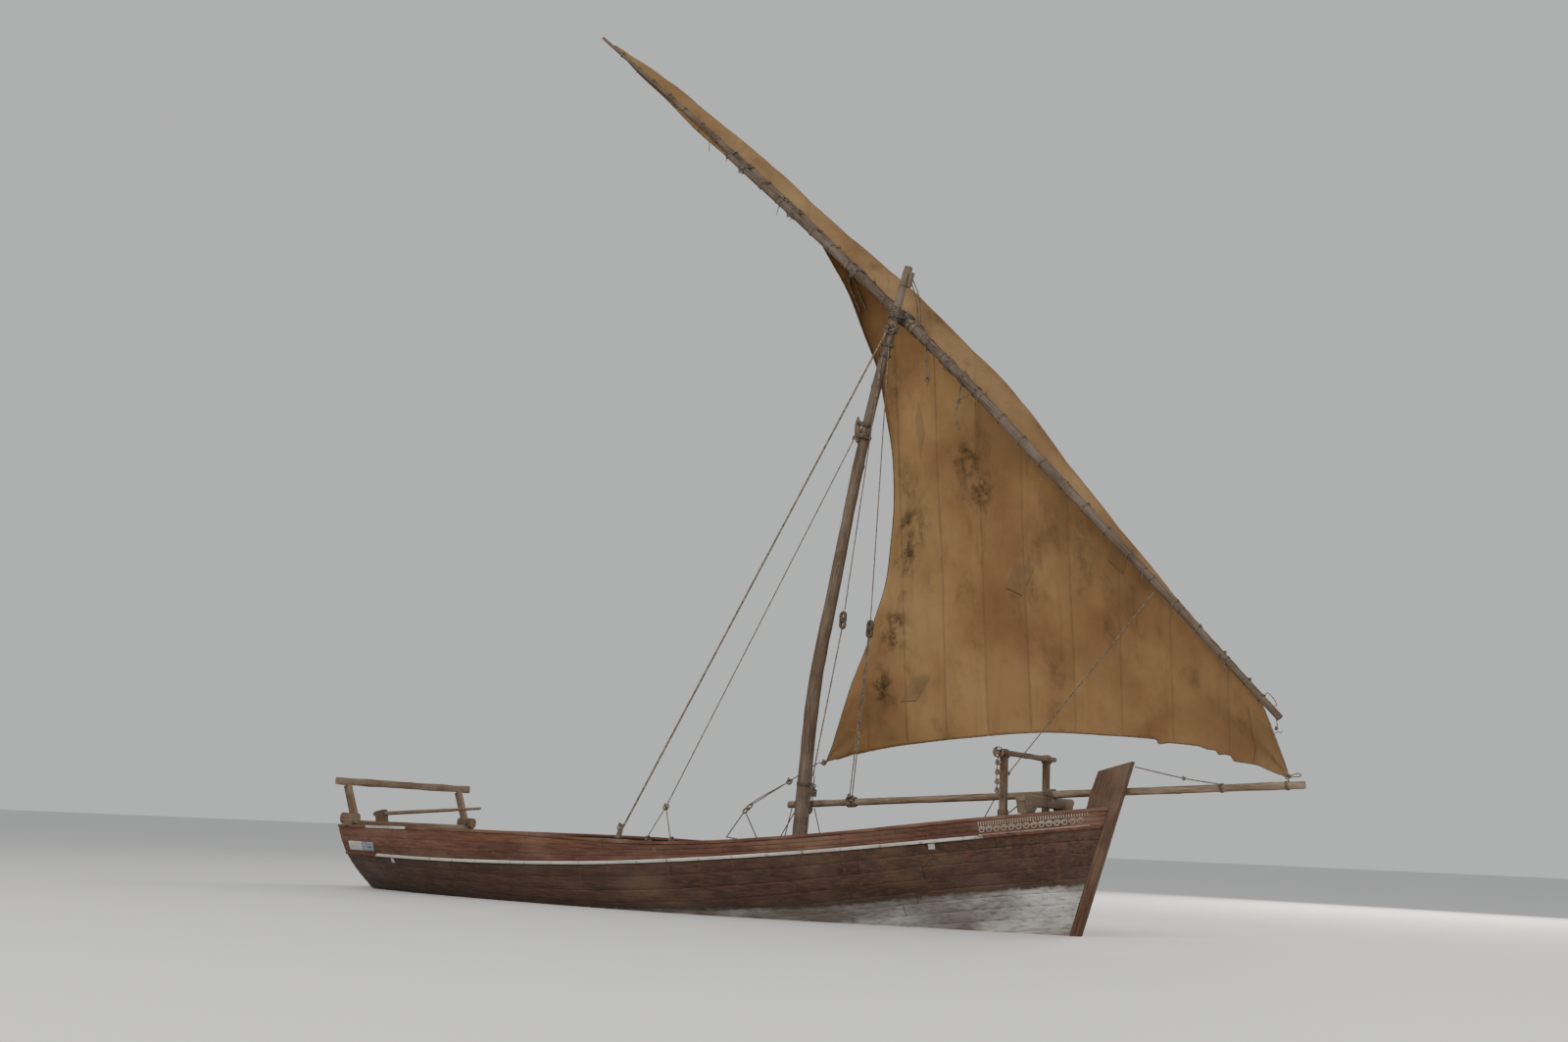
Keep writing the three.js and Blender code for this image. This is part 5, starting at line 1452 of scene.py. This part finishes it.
LUFF_TUFTS, TUFT = (0.36, 0.62), [(0, 0, 0), (0.045, 0.01, 0.03), (0.085, 0.0, 0.015), (0.10, 0, 0.045)]
for v in LUFF_TUFTS:
    root = on_grid(sail_moved, np.array([0.0]), np.array([v]))[0]
    roband_parts.append(tube(root + np.array(TUFT), 0.006, 6, 12))
LAID_ROPE = [(0.653, 0.950), (0.667, 0.868), (0.663, 0.800), (0.642, 0.812)]
laid_u, laid_v = np.array(LAID_ROPE).T
laid_u = laid_u / HEAD_TOP
laid = on_grid(sail_moved, laid_u, laid_v) - on_grid(sail_normal, laid_u, laid_v) * 0.03
roband_parts.append(rope(laid, 0.009))
robands = cordage("sail_robands", roband_parts, "yard")

clew_at = np.array(CLEW)
clew_loop = [rope(sagging(CLEW, clew_at + [-0.07, -0.10, -0.02], 0.02), 0.009)]
clew_loop.append(knot(clew_at + [-0.02, -0.025, -0.012], 0.045, 0.010))
clew_piece = cordage("clew_cringle", clew_loop, "yard")

# %% [markdown]
# ## Poles
# These are natural trunks, thick where the tree was, never quite straight or round. The radius
# follows the taper with slow swellings, and knots stand out as small rounded bumps.

# %% Mast, spars, bowsprit and tiller
def natural_pole(line, radius, seed, sides=26, bumps=8, sway=0.035):
    """A tube whose radius is the taper, plus slow waves, plus rounded knots at odd places."""
    rng = np.random.default_rng(seed)
    rings = circles(line, radius, sides)
    out = rings - line[:, None]
    size = np.linalg.norm(out, axis=2)[..., None]
    out /= size
    uneven = sway * waves(rings, 0.8, seed) + 0.6 * sway * waves(rings, 0.25, seed + 1) - 0.5 * sway
    lift = size[..., 0] * uneven
    for _ in range(bumps):
        i, j = rng.integers(8, len(line) - 8), rng.integers(0, sides)
        away = np.linalg.norm(rings - rings[i, j], axis=2)
        lift += 0.14 * size[i, j, 0] * np.exp(-((away / 0.035) ** 2))
    return loft(rings + out * lift[..., None], shift=5.3 * seed)


def spar_pole(spar, seed):
    """One trunk of the yard: its centre line and radius from the rows, every few centimetres."""
    t = np.linspace(*spar["ends"], 260)
    return natural_pole(yard_at(t, spar), through(spar["radius"], t), seed, 24, 10, 0.02)


MAST_LINE = [
    (1.884, 0, -0.275), (1.980, 0, 1.150), (2.130, 0, 3.220), (2.385, 0, 4.620),
    (2.830, 0, 6.920), (3.250, 0, 8.600), (3.440, 0, 9.260),
]
mast_radius = mix(0.112, 0.062, np.linspace(0, 1, 240) ** 1.3)
mast = natural_pole(curve_through(MAST_LINE, 240), mast_radius, 41)
# Mast and yard trunks take the darker copies of the pole wood, which paint shade into them.
build("mast_pole", [mast], dark_pole, "hull", ["mast"])
for name, spar, seed in (("lower", LOWER_SPAR, 42), ("upper", UPPER_SPAR, 43)):
    build(f"yard_pole_{name}", [spar_pole(spar, seed)], yard_wood, "yard", [f"yard_{name}_spar"])
sprit_line = evenly(np.array([(1.670, 0.168, 1.545), (9.080, 0.112, 1.970)]), 150)
sprit = natural_pole(sprit_line, np.full(150, 0.0495), 44, 20)
build("bowsprit_pole", [sprit], pole_wood, "hull", ["bowsprit"])
tiller_line = evenly(np.array([(-6.390, 0, 1.176), (-4.050, 0, 1.330)]), 60)
tiller = natural_pole(tiller_line, np.linspace(0.037, 0.023, 60), 45, 16, 4)
build("tiller_pole", [tiller], pole_wood, "rudder", ["tiller"])

# %% [markdown]
# ## Lashings and parrel
# Four bands of small rope bind the two trunks. The parrel, a few turns of thick rope, holds the yard
# to the mast and slides on a smooth binding round the mast. Each turn lies square to the mast on the
# mast's side and square to the yard on the yard's side, so the plane of the turn twists between them.

# %% Lashings, binding and parrel
LASHED_AT, LASH_TURNS, LASH_PITCH, LASH_RADIUS = (0.42, 0.56, 0.66, 0.74), 11, 0.0118, 0.0058
half_band = LASH_TURNS / 2 * LASH_PITCH / YARD_LENGTH
lash_parts = [
    yard_coil(t - half_band, LASH_TURNS, LASH_PITCH, LASH_RADIUS, 0.0015, 0.002, 0.4 * k)
    for k, t in enumerate(LASHED_AT)
]
lash_parts += [knot(beside_yard(t, 3.6, 0.016), 0.03, 0.006) for t in LASHED_AT]
cordage("splice_lashings", lash_parts, "yard", dark_rope)

SLING = np.array([3.25, 0, 8.6])
MAST_WAY, MAST_FORE = np.array([0.16851, 0, 0.9857]), np.array([0.9857, 0, -0.16851])
binding = coil(SLING, MAST_WAY, 0.0725, 0.0054, 20, 0.0108, 6, 26)
cordage("mast_binding", [binding], "hull", dark_rope)

PARREL_RADIUS, PARREL_TURNS, PARREL_PITCH = 0.0125, 5, 0.027
ROUND_YARD, ROUND_MAST = 0.090, 0.0965
upper_y = float(yard_at(0.489, UPPER_SPAR)[1])


def parrel_turn(k):
    """One turn: round the mast's axis to starboard, round the upper trunk to port."""
    a = np.linspace(0, 2 * np.pi, 60, endpoint=False)
    port = np.clip(np.sin(a), 0, 1) > 0
    radius = np.where(port, ROUND_YARD, ROUND_MAST)
    y = np.where(port, upper_y, 0.0) + radius * np.sin(a)
    toward = smooth((y + 0.02) / 0.26)[:, None]
    fore = mix(MAST_FORE, YARD_UP, toward)
    fore /= np.linalg.norm(fore, axis=1)[:, None]
    stack = mix(MAST_WAY, YARD_ALONG, toward) * (k - (PARREL_TURNS - 1) / 2) * PARREL_PITCH
    line = SLING + fore * (radius * np.cos(a))[:, None] + np.array([0, 1, 0]) * y[:, None] + stack
    rings = circles(line, PARREL_RADIUS, 9, 3, 0.12, run_of(line)[-1] / 8, loop=True)
    return loft(rings, loop=True)


parrel_parts = [parrel_turn(k) for k in range(PARREL_TURNS)]
parrel_parts.append(knot(SLING + np.array([0.10, 0.09, 0.02]), 0.05, 0.011))
parrel_parts.append(knot(SLING + np.array([-0.09, 0.10, -0.02]), 0.045, 0.010))
cordage("parrel_rope", parrel_parts, "yard", dark_rope, ["parrel"])

# %% [markdown]
# ## Masthead and blocks
# The masthead is squared for the halyard, with a chock on its fore side and a thin one on each flank.
# A wooden block is a long shell with a slot for the sheave and a rope strop round it, so it is built
# as two long rings, one over the other, with light showing through both.

# %% Masthead and cheek block
UP_MAST = (0.24, 0, 0.97)
mast_head = squared((3.395, 0, 9.10), (3.447, 0, 9.285), 0.096, 0.100, (1, 0, 0), 0.012, 111, 0.003)
fore_chock = squared((3.435, 0, 8.985), (3.492, 0, 9.19), 0.07, 0.10, (1, 0, 0), 0.014, 112)
side_chocks = [
    squared((3.385, y, 9.0), (3.430, y, 9.19), 0.022, 0.10, (1, 0, 0), 0.008, 113) for y in (-0.060, 0.060)
]
head_timbers = [mast_head, fore_chock, *side_chocks]
build("masthead_timbers", head_timbers, dark_pole, "hull", ["masthead_cap"])


def block_rings(low, high, wide, thick, seed=3):
    """A block seen from its side: two long rings between two points, each an ellipse of rounded
    section, with a lashing of small cord between them."""
    low, high = np.array(low, float), np.array(high, float)
    way = (high - low) / np.linalg.norm(high - low)
    side = np.cross(way, [0.25, 1.0, 0.0])
    side /= np.linalg.norm(side)
    a = np.linspace(0, 2 * np.pi, 28, endpoint=False)[:, None]
    half = np.linalg.norm(high - low) / 4
    parts = []
    for share in (0.25, 0.75):
        line = mix(low, high, share) + way * half * 0.82 * np.sin(a) + side * wide * np.cos(a)
        rings = circles(line, thick, 10, loop=True)
        parts.append(loft(rings + 0.002 * waves(rings, 0.06, seed)[..., None], loop=True))
    parts.append(coil((low + high) / 2, way, wide * 0.55 + thick, 0.006, 4, 0.012, 6))
    return parts


cheek = [ellipsoid((2.742, -0.098, 6.90), (0.046, 0.036, 0.20), 6)]
cheek.append(ellipsoid((2.842, -0.06, 6.90), (0.035, 0.042, 0.17), 7))
cheek += in_finish(1, *(coil((2.803, -0.03, z), UP_MAST, 0.118, 0.0065, 3.5, 0.014) for z in (6.81, 6.99)))
build("mast_cheek_blocks", cheek, [dark_pole, dark_rope], "hull", ["mast_cheek_block"])

# %% [markdown]
# ## Standing lines
# The backstay and a side stay come down to the starboard rail, and two falls hang from the mast to a
# cleat and to the bowsprit's heel. Pulled lines are straight, slack ones sag by a few centimetres,
# and every end is a few turns and a knot.

# %% Stays and falls
RAIL_Y = -1.832
backstay = ropes(((3.19, -0.095, 8.37), (0.19, RAIL_Y, 1.02), 0.0145))
mast_ring = coil((3.19, 0, 8.37), MAST_WAY, 0.090, 0.0185, 3, 0.035, 9)
backstay += in_finish(1, mast_ring, knot((3.24, -0.10, 8.36), 0.07, 0.017))
backstay.append(coil((0.19, RAIL_Y, 1.03), (0.35, 0.05, 1), 0.03, 0.010, 5, 0.021))
backstay.append(knot((0.21, RAIL_Y, 1.13), 0.05, 0.012))
cordage("backstay_rope", backstay, "hull", [rope_fibre, dark_rope], ["backstay"])

STAY_KNOT = (0.90, -1.745, 1.42)
side_stay = ropes(((2.69, -0.085, 6.79), STAY_KNOT, 0.009)) + [knot(STAY_KNOT, 0.045, 0.009)]
side_stay += ropes((STAY_KNOT, (0.66, -1.815, 1.0), 0.008), (STAY_KNOT, (1.06, -1.81, 0.955), 0.008))
side_stay.append(coil((2.72, 0, 6.79), UP_MAST, 0.098, 0.009, 2.5, 0.019))
side_stay += [coil((x, -1.80, 0.985), (1, 0, 0.05), 0.036, 0.006, 3, 0.013, 6, 16) for x in (0.66, 1.06)]
cordage("side_stay_rope", side_stay, replaces=["side_stay"])

FALL_FINISHES = [rope_fibre, dark_rope, yard_wood]
aft_fall = ropes(((3.10, -0.075, 7.99), (2.69, -0.185, 4.27), 0.009))
aft_fall += in_finish(2, *block_rings((2.665, -0.19, 4.01), (2.675, -0.19, 4.25), 0.043, 0.025))
aft_fall += ropes(((2.66, -0.19, 4.02), (2.26, -0.12, 2.10), (2.235, -0.115, 1.94), 0.010))
aft_fall += in_finish(1, coil((3.10, 0, 7.99), MAST_WAY, 0.084, 0.009, 2, 0.019))
aft_fall += in_finish(1, coil((2.03, 0, 1.84), (0.07, 0, 1), 0.114, 0.0075, 3, 0.016))
cordage("aft_fall_with_block", aft_fall, "hull", FALL_FINISHES, ["fall_to_mast"])

HEEL_KNOT, SPRIT_WAY = np.array([2.721, 0.150, 1.606]), (1, 0, 0.057)
fore_fall = ropes(((3.19, -0.06, 8.14), (3.075, -0.11, 4.14), 0.009))
fore_fall += in_finish(2, *block_rings((3.06, -0.11, 3.885), (3.075, -0.11, 4.12), 0.038, 0.027, 4))
fore_fall += ropes(
    ((3.065, -0.11, 3.89), HEEL_KNOT + [0.02, -0.03, 0.07], 0.009),
    ((3.04, -0.10, 3.9), HEEL_KNOT + [-0.015, -0.04, 0.07], 0.009),
)
fore_fall += in_finish(1, coil((3.14, 0, 8.14), MAST_WAY, 0.084, 0.009, 2, 0.019))
fore_fall.append(coil(HEEL_KNOT, SPRIT_WAY, 0.063, 0.012, 5, 0.026))
fore_fall.append(knot(HEEL_KNOT + [0, -0.055, 0.05], 0.06, 0.012))
cordage("fore_fall_with_block", fore_fall, "hull", FALL_FINISHES, ["fall_to_bowsprit"])

# %% [markdown]
# ## Running lines
# The halyard, the sheet, the tack line and the vang run between the boat and the yard. Each is given
# both bodies and a point near each end, but is left where it stands, attached to neither.

# %% Lines between hull and yard
tied_at = around_yard(np.array([0.4725, 0.4765]), np.array([0.30, 0.20]), 0.010)
halyard = ropes(
    ((3.50, 0.03, 9.10), (3.53, 0.20, 8.84), tied_at[0], 0.009),
    ((3.49, -0.02, 9.08), (3.50, 0.16, 8.82), tied_at[1], 0.008),
)
halyard_ends = (3.49, 0.0, 9.08), tuple(tied_at[0] + [0, 0, 0.06])
cordage("halyard_parts", halyard, ("hull", "yard", *halyard_ends), dark_rope)
yard_tie = [yard_coil(t, 3, 0.021, 0.0095, 0.001, 0.0, k) for k, t in enumerate((0.4695, 0.4745))]
yard_tie.append(knot(tied_at[0] + [0.01, 0, 0.015], 0.055, 0.0095))
cordage("halyard_tie_on_yard", yard_tie, "yard")

SHEET_KNOT = (0.752, 1.6, 1.932)
clew_end = tuple(clew_at + [-0.08, -0.11, -0.03])
sheet_line = ropes((clew_end, SHEET_KNOT, 0.010)) + [knot(SHEET_KNOT, 0.05, 0.010)]
sheet_line += ropes((SHEET_KNOT, (0.34, 1.23, 1.56), 0.009))
sheet_line += ropes((SHEET_KNOT, (0.38, 1.20, 1.60), (0.30, 1.22, 1.55), 0.008))
cordage("sheet_upper_part", sheet_line, ("hull", "yard", (0.36, 1.24, 1.58), clew_end))
sheet_low = block_rings((0.23, 1.14, 1.42), (0.33, 1.23, 1.56), 0.03, 0.014, 8)
sheet_low += ropes(
    ((0.24, 1.15, 1.43), (-0.30, 1.50, 1.05), 0.009), ((0.26, 1.16, 1.44), (0.10, 1.80, 1.0), 0.009)
)
sheet_low += [coil((x, 1.80, 0.985), (1, 0, 0), 0.04, 0.008, 3, 0.018, 6) for x in (0.10, -0.30)]
sheet_low += ropes(((-0.30, 1.50, 1.05), (-0.30, 1.80, 1.03), 0.009))
cordage("sheet_lower_part", sheet_low)

SPRIT_TIP_WAY = (1, -0.0075, 0.057)
tack_line = ropes((TACK, (8.868, 0.165, 2.035), (8.87, 0.14, 2.012), 0.008))
cordage("tack_line", tack_line, ("hull", "yard", (8.87, 0.13, 2.0), TACK))
eye_marks = TACK, (8.93, 0.185, 2.10), (9.0, 0.18, 2.105), (9.01, 0.18, 2.08), (8.93, 0.185, 2.068), TACK
tack_knot = knot(np.array(TACK) + [-0.005, 0.0, 0.012], 0.035, 0.008)
cordage("tack_eye", [*ropes((*eye_marks, 0.0075)), tack_knot], "yard")
cordage("bowsprit_tip_turns", [coil((8.87, 0.114, 1.958), SPRIT_TIP_WAY, 0.0545, 0.006, 3, 0.014)])
VANG_TOP, VANG_KNOT, VANG_FOOT = (7.164, 0.10, 4.40), (4.908, 0.60, 2.066), (4.444, 0.70, 1.345)
vang = ropes((VANG_TOP, VANG_KNOT, 0.008), (VANG_KNOT, VANG_FOOT, 0.008)) + [knot(VANG_KNOT, 0.026, 0.006)]
cordage("vang_line", vang, ("hull", "yard", (4.6, 0.66, 1.6), (7.1, 0.12, 4.3)))

# %% [markdown]
# ## Small rigging
# What is left is the clutter that makes a working boat: lashings at the bowsprit's heel, a cleat with
# its hitches, a line from the stem head to the bowsprit, cords that hang from the yard, and a rope
# that hangs from the bow rail.

# %% Fixed lines, cleat and hitches
fixed_lines = ropes(((6.955, 0.0, 2.15), (7.583, 0.05, 2.02), (8.047, 0.115, 1.955), 0.008))
fixed_lines.append(knot((7.583, 0.05, 2.02), 0.025, 0.006))
fixed_lines.append(coil((8.047, 0.12, 1.911), SPRIT_TIP_WAY, 0.0545, 0.006, 3, 0.013))
fixed_lines.append(coil((6.70, 0.134, 1.834), SPRIT_TIP_WAY, 0.063, 0.011, 5, 0.023))
fixed_lines += ropes(((6.66, 0.09, 1.80), (6.62, 0.066, 1.72), (6.60, 0.0, 1.66), 0.009))
fixed_lines.append(coil((1.93, 0.166, 1.56), SPRIT_WAY, 0.062, 0.012, 5, 0.026))
fixed_lines.append(coil((1.985, 0.06, 1.52), (0.07, 0.9, 0.5), 0.13, 0.012, 2, 0.03))
fixed_lines += ropes(((1.80, 0.20, 1.52), (1.44, 0.30, 1.05), 0.008))
fixed_lines += ropes(((1.75, 0.13, 1.51), (1.66, 0.10, 1.07), 0.008))
fixed_lines.append(coil((2.245, -0.105, 1.71), (0.1, 0, 1), 0.038, 0.010, 5, 0.021))
fixed_lines += ropes(((2.245, -0.145, 1.66), (2.33, -0.02, 1.13), 0.008))
fixed_lines += ropes(((2.257, -0.12, 1.94), (2.24, -0.11, 1.78), 0.009))
fixed_lines.append(knot((2.25, -0.14, 1.80), 0.045, 0.009))
fixed_lines.append(rope(sagging((2.21, -0.14, 1.70), (2.15, -0.20, 1.09), 0.03), 0.008))
fixed_lines.append(coil((BEAM_X, 0.137, 1.775), SPRIT_WAY, 0.066, 0.011, 6, 0.0235))
cordage("bowsprit_lashings", fixed_lines, "hull", dark_rope)

hanging = ropes(
    ((FRAME_X, -0.83, RAIL_Z - 0.01), (FRAME_X - 0.01, -0.84, 1.95), (FRAME_X, -0.82, 1.72), 0.009)
)
hanging.append(coil((FRAME_X, -0.83, RAIL_Z + 0.035), (0, 1, 0), 0.064, 0.009, 2.5, 0.018))
hanging += [knot((FRAME_X, -0.835, z), 0.035, 0.009) for z in (2.14, 2.02, 1.90, 1.79)]
hanging += ropes(
    ((FRAME_X, -FRAME_Y, 1.49), (FRAME_X + 0.10, -0.72, 1.50), (BEAM_X - 0.08, -0.62, 1.62), 0.009)
)
COIL_X, COIL_Y, COIL_TURNS, DECK_SLOPE = 4.75, -0.36, 6, 0.0523
turn = np.linspace(0, 2 * np.pi, 160)[:, None]
circle = np.concatenate([np.cos(COIL_TURNS * turn), np.sin(COIL_TURNS * turn), 0 * turn], axis=1)
coiled_at = np.array([COIL_X, COIL_Y, float(deck_top(COIL_X)) + 0.012])
spiral = coiled_at + (0.08 + 0.020 * turn / 6.28 * COIL_TURNS) * circle
spiral[:, 2] += DECK_SLOPE * 2 * (spiral[:, 0] - COIL_X)
cordage("bow_frame_ropes", [*hanging, rope(spiral, 0.009, 0.09, 6, 7)])

# %% Loose cords of the yard
LOOSE = [
    (0.657, .10), (0.676, .18), (0.708, .08), (0.739, .09), (0.764, .10), (0.805, .30),
    (0.871, .07), (0.933, .07), (0.159, .10), (0.114, .12), (0.060, .14),
]
rng = np.random.default_rng(19)
loose_parts = []
for t, length in LOOSE:
    root = beside_yard(t, -1.9, 0.004)
    sway = np.array([rng.uniform(-0.25, 0.25), rng.uniform(-0.1, 0.05), 0]) * length
    marks = [root, root + sway * 0.4 - [0, 0, length * 0.5], root + sway - [0, 0, length]]
    loose_parts.append(rope(marks, 0.0068, 0.06, 7, 7))
    loose_parts.append(yard_coil(t, 2, 0.010, 0.0048, 0.001, 0.0, rng.uniform(0, 3)))
FORK = np.array([(0, 0, 0), (-0.05, -0.02, -0.36), (-0.09, -0.03, -0.52), (0.0, -0.03, -0.74)])
fork = around_yard(np.array([0.398, 0.381]), np.array([-1.7, -1.7]), 0.004)
loose_parts += ropes((*(fork[0] + FORK), 0.010), (fork[1], fork[0] + [-0.04, -0.02, -0.30], 0.009))
loose_parts.append(knot(fork[0] + [-0.04, -0.02, -0.32], 0.03, 0.008))
by_mast = beside_yard(0.449, -2.3, 0.004)
loose_parts += ropes((by_mast, (3.72, 0.12, 7.80), (3.76, 0.12, 7.66), (3.74, 0.12, 7.50), 0.010))
loose_parts.append(knot((3.745, 0.12, 7.60), 0.035, 0.008))
loose_parts += [yard_coil(t, 3, 0.013, 0.006, 0.001) for t in (0.3985, 0.3805, 0.4485)]
low_end = beside_yard(0.002, -2.2, 0.0)
low_marks = [low_end, low_end + [0.02, -0.01, -0.09], low_end + [0.01, -0.01, -0.15]]
loose_parts.append(rope(low_marks, 0.006, 0.05, 7, 7))
loose_parts.append(knot(low_end + [0.01, -0.01, -0.135], 0.022, 0.006))
loop_feet = around_yard(np.array([0.009, 0.020]), np.array([0.0, 0.0]), 0.002)
loop_tops = loop_feet + YARD_UP * np.array([[0.035], [0.05]])
loose_parts += ropes((loop_feet[0], loop_tops[0], loop_tops[1], loop_feet[1], 0.006))
loose_parts.append(yard_coil(0.020, 2, 0.013, 0.006, 0.001))
cordage("yard_loose_cords", loose_parts, "yard", dark_rope)

# %% [markdown]
# ## Trim of the sides
# At the stern a pale strip just under the sheer paints a highlight along the gunwale's top edge, and
# the taffrail posts stand in chunky blocks. Two blank weathered boards are nailed under the rail there.
# At the bow the upper strakes carry a whitish band of curls and short strokes over a scalloped edge, a
# traditional kind of pattern, in low relief.

# %% Stern boards, post blocks and bow band
def side_face(x, bottom, top, share):
    """A grid on the port side: x along it, heights at shares of the way from bottom to top."""
    z = mix(bottom[:, None], top[:, None], share[None, :])
    return together(x[:, None], width_at(x[:, None] + 0 * z, z), z)


def raised(face, lift):
    """Rings of a thin board: the face moved outward by the lift, and back again a little inside."""
    front = face + np.array([0, 1, 0]) * lift[..., None]
    return np.concatenate([front, (face - np.array([0, 0.004, 0]))[:, ::-1]], axis=1)


def side_board(x0, x1, low, high, thick, sign, seed, edge=0.004, proud=0.0):
    """A thin board bent over the side between two heights: low and high are values or functions of x."""
    x = np.linspace(x0, x1, 60)
    bottom, top = (f(x) if callable(f) else np.full(60, f) for f in (low, high))
    share = np.linspace(0, 1, 9)
    bulge = thick * smooth(np.minimum(share, 1 - share) / 0.12) ** 0.5 + proud
    end = smooth(np.minimum(x - x0, x1 - x) / edge)[:, None]
    rings = raised(side_face(x, bottom, top, share), 0.002 + bulge[None, :] * (0.5 + 0.5 * end))
    return loft(rings * np.array([1, sign, 1]), shift=seed)


def fringe(x0, x1, low, high, depth, pitch, rise, sign):
    """A low relief on the side between two shares of the band's height: its lower edge falls by depth
    times the root of 1 - s squared inside each scallop, s from -1 to 1 across it."""
    x = np.linspace(x0, x1, int((x1 - x0) / pitch * 14))
    s = 2 * ((x - x0) / pitch % 1) - 1
    bottom, top = (mix(through(BAND_LOW, x), through(BAND_TOP, x), share) for share in (low, high))
    bottom = bottom - depth * np.sqrt(np.clip(1 - s**2, 0, 1))
    across_band = np.linspace(0, 1, 5)
    lift = rise * (0.6 + 0.4 * smooth(np.minimum(across_band, 1 - across_band) / 0.25))
    rings = raised(side_face(x, bottom, top, across_band), lift[None, :])
    uv = np.stack([rings[..., 0], 5 + rings[..., 2] * 6], axis=-1)
    return loft(rings * np.array([1, sign, 1]), closed(uv))


def bead(xs, share, rise, sign, thick=0.0055):
    """A thin raised bead on the side: x as given, z at a share of the band's height plus a rise."""
    zs = mix(through(BAND_LOW, xs), through(BAND_TOP, xs), share) + rise
    return tube(np.stack([xs, sign * (width_at(xs, zs) + 0.003), zs], axis=1), thick, 6)


def curl(x, size, sign):
    """One curl of the band: a spiral of a turn and a half whose radius shrinks to a third."""
    a = np.linspace(0, 3 * np.pi, 34)
    radius = size * (1 - 0.66 * a / a[-1])
    return bead(x + radius * np.cos(a), 0.40, radius * np.sin(a), sign)


BAND_TOP = [(5.2, 1.375), (5.9, 1.488), (6.45, 1.585)]
BAND_LOW = [(5.2, 1.205), (5.9, 1.302), (6.45, 1.388)]
BAND_SPAN, BAND_PITCH = (5.22, 6.43), 0.083
band_places = np.arange(BAND_SPAN[0] + BAND_PITCH / 2, BAND_SPAN[1] - 0.02, BAND_PITCH)
stroke_places = np.arange(BAND_SPAN[0] + 0.01, BAND_SPAN[1], BAND_PITCH / 3)
stroke_rise = np.linspace(-0.022, 0.022, 5)
# Heights of the pale strip that paints the highlight along the stern gunwale's top edge.
STERN_HIGHLIGHT_STRIP = (lambda x: through(SHEER, x) - 0.043, lambda x: through(SHEER, x) - 0.004)
UNDER_STRIPE = (lambda x: through(STRIPE, x) - 0.105, lambda x: through(STRIPE, x) - 0.026)
for side, sign in SIDES:
    relief = [
        fringe(*BAND_SPAN, 0.93, 1.0, 0, BAND_PITCH, 0.005, sign),
        fringe(*BAND_SPAN, 0.03, 0.10, 0.022, BAND_PITCH, 0.007, sign)
    ]
    relief += [curl(x, 0.040, sign) for x in band_places]
    relief += [bead(x + 0 * stroke_rise, 0.80, stroke_rise, sign) for x in stroke_places]
    build(f"bow_curl_band_{side}", relief, band_paint, "hull")
    panel = [side_board(-5.58, -5.20, 0.60, 0.74, 0.012, sign, 3)]
    panel += [side_board(x, x + 0.075, *UNDER_STRIPE, 0.014, sign, 6) for x in (-4.47, 4.62)]
    # A pale strip just under the sheer, proud of the side: painted highlight on the gunwale's lit top edge.
    panel.append(side_board(-5.06, -4.02, *STERN_HIGHLIGHT_STRIP, 0.003, sign, 5, proud=0.015))
    build(f"stern_side_board_{side}", panel, pale_timber, "hull")
    blue_board = side_board(-5.18, -4.88, 0.60, 0.735, 0.012, sign, 4)
    build(f"stern_blue_board_{side}", [blue_board], blue_paint, "hull")
    aft, fore = (-5.71, sign * 1.335, 1.09), (-5.40, sign * 1.335, 1.09)
    foot_block = squared(aft, fore, 0.15, 0.185, edge=0.065, seed=115, wander=0.008)
    bare(f"taffrail_foot_block_{side}", [foot_block])

# %% [markdown]
# ## Light and floor
# A plain pale floor lies at the waterline and the light is broad and soft: one large area to the
# left of the camera, a weaker one from the right and a low one behind, so that the canvas glows.

# %% Light and floor
def area_light(name, at, size, power, tint):
    """A square lamp that faces the middle of the boat."""
    data = bpy.data.lights.new(name, "AREA")
    data.size, data.energy, data.color = size, power, tint
    lamp = bpy.data.objects.new(name, data)
    lamp.location = at
    lamp.rotation_euler = (Vector((1.5, 0, 4)) - Vector(at)).to_track_quat("-Z", "Y").to_euler()
    bpy.context.scene.collection.objects.link(lamp)


area_light("key_light", (4, -26, 18), 14, 5200, (1.0, 0.97, 0.93))
area_light("fill_light", (26, -10, 12), 12, 1800, (0.95, 0.97, 1.0))
area_light("back_light", (6, 24, 9), 12, 5200, (1.0, 0.93, 0.82))
world = bpy.data.worlds.new("studio")
world.use_nodes = True
world.node_tree.nodes["Background"].inputs[0].default_value = (0.80, 0.81, 0.82, 1.0)
world.node_tree.nodes["Background"].inputs[1].default_value = 0.70
bpy.context.scene.world = world

FLOOR_REACH = 400.0
floor_mesh = bpy.data.meshes.new("floor")
floor_corners = [(x * FLOOR_REACH, y * FLOOR_REACH, 0) for x, y in ((-1, -1), (1, -1), (1, 1), (-1, 1))]
floor_mesh.from_pydata(floor_corners, [], [(0, 1, 2, 3)])
floor = bpy.data.objects.new("floor", floor_mesh)
bpy.context.scene.collection.objects.link(floor)
floor_finish, floor_tree, floor_shader = start("pale_floor", 0.9)
pale = noise(floor_tree, 0.05)
floor_colour = layered(floor_tree, (0.62, 0.62, 0.61), (pale, (0.66, 0.66, 0.65)))
floor_tree.links.new(floor_colour, floor_shader.inputs["Base Color"])
floor_mesh.materials.append(floor_finish)

# %% [markdown]
# ## What stays of the frame
# The forged rudder fittings and the timbers under the floor have the right shape already. They keep
# their own faces and take a finish by their slot.

# %% Finishes on the frame's own pieces
for part in frame["record"]["subparts"]:
    node = frame["nodes"][part["node"]]
    node.data.materials.clear()
    node.data.materials.append(rusty_iron if part["material_slot"] == "iron" else hidden_timber)
print("frame pieces still shown", sorted(n for n, o in frame["nodes"].items() if not o.hide_render))
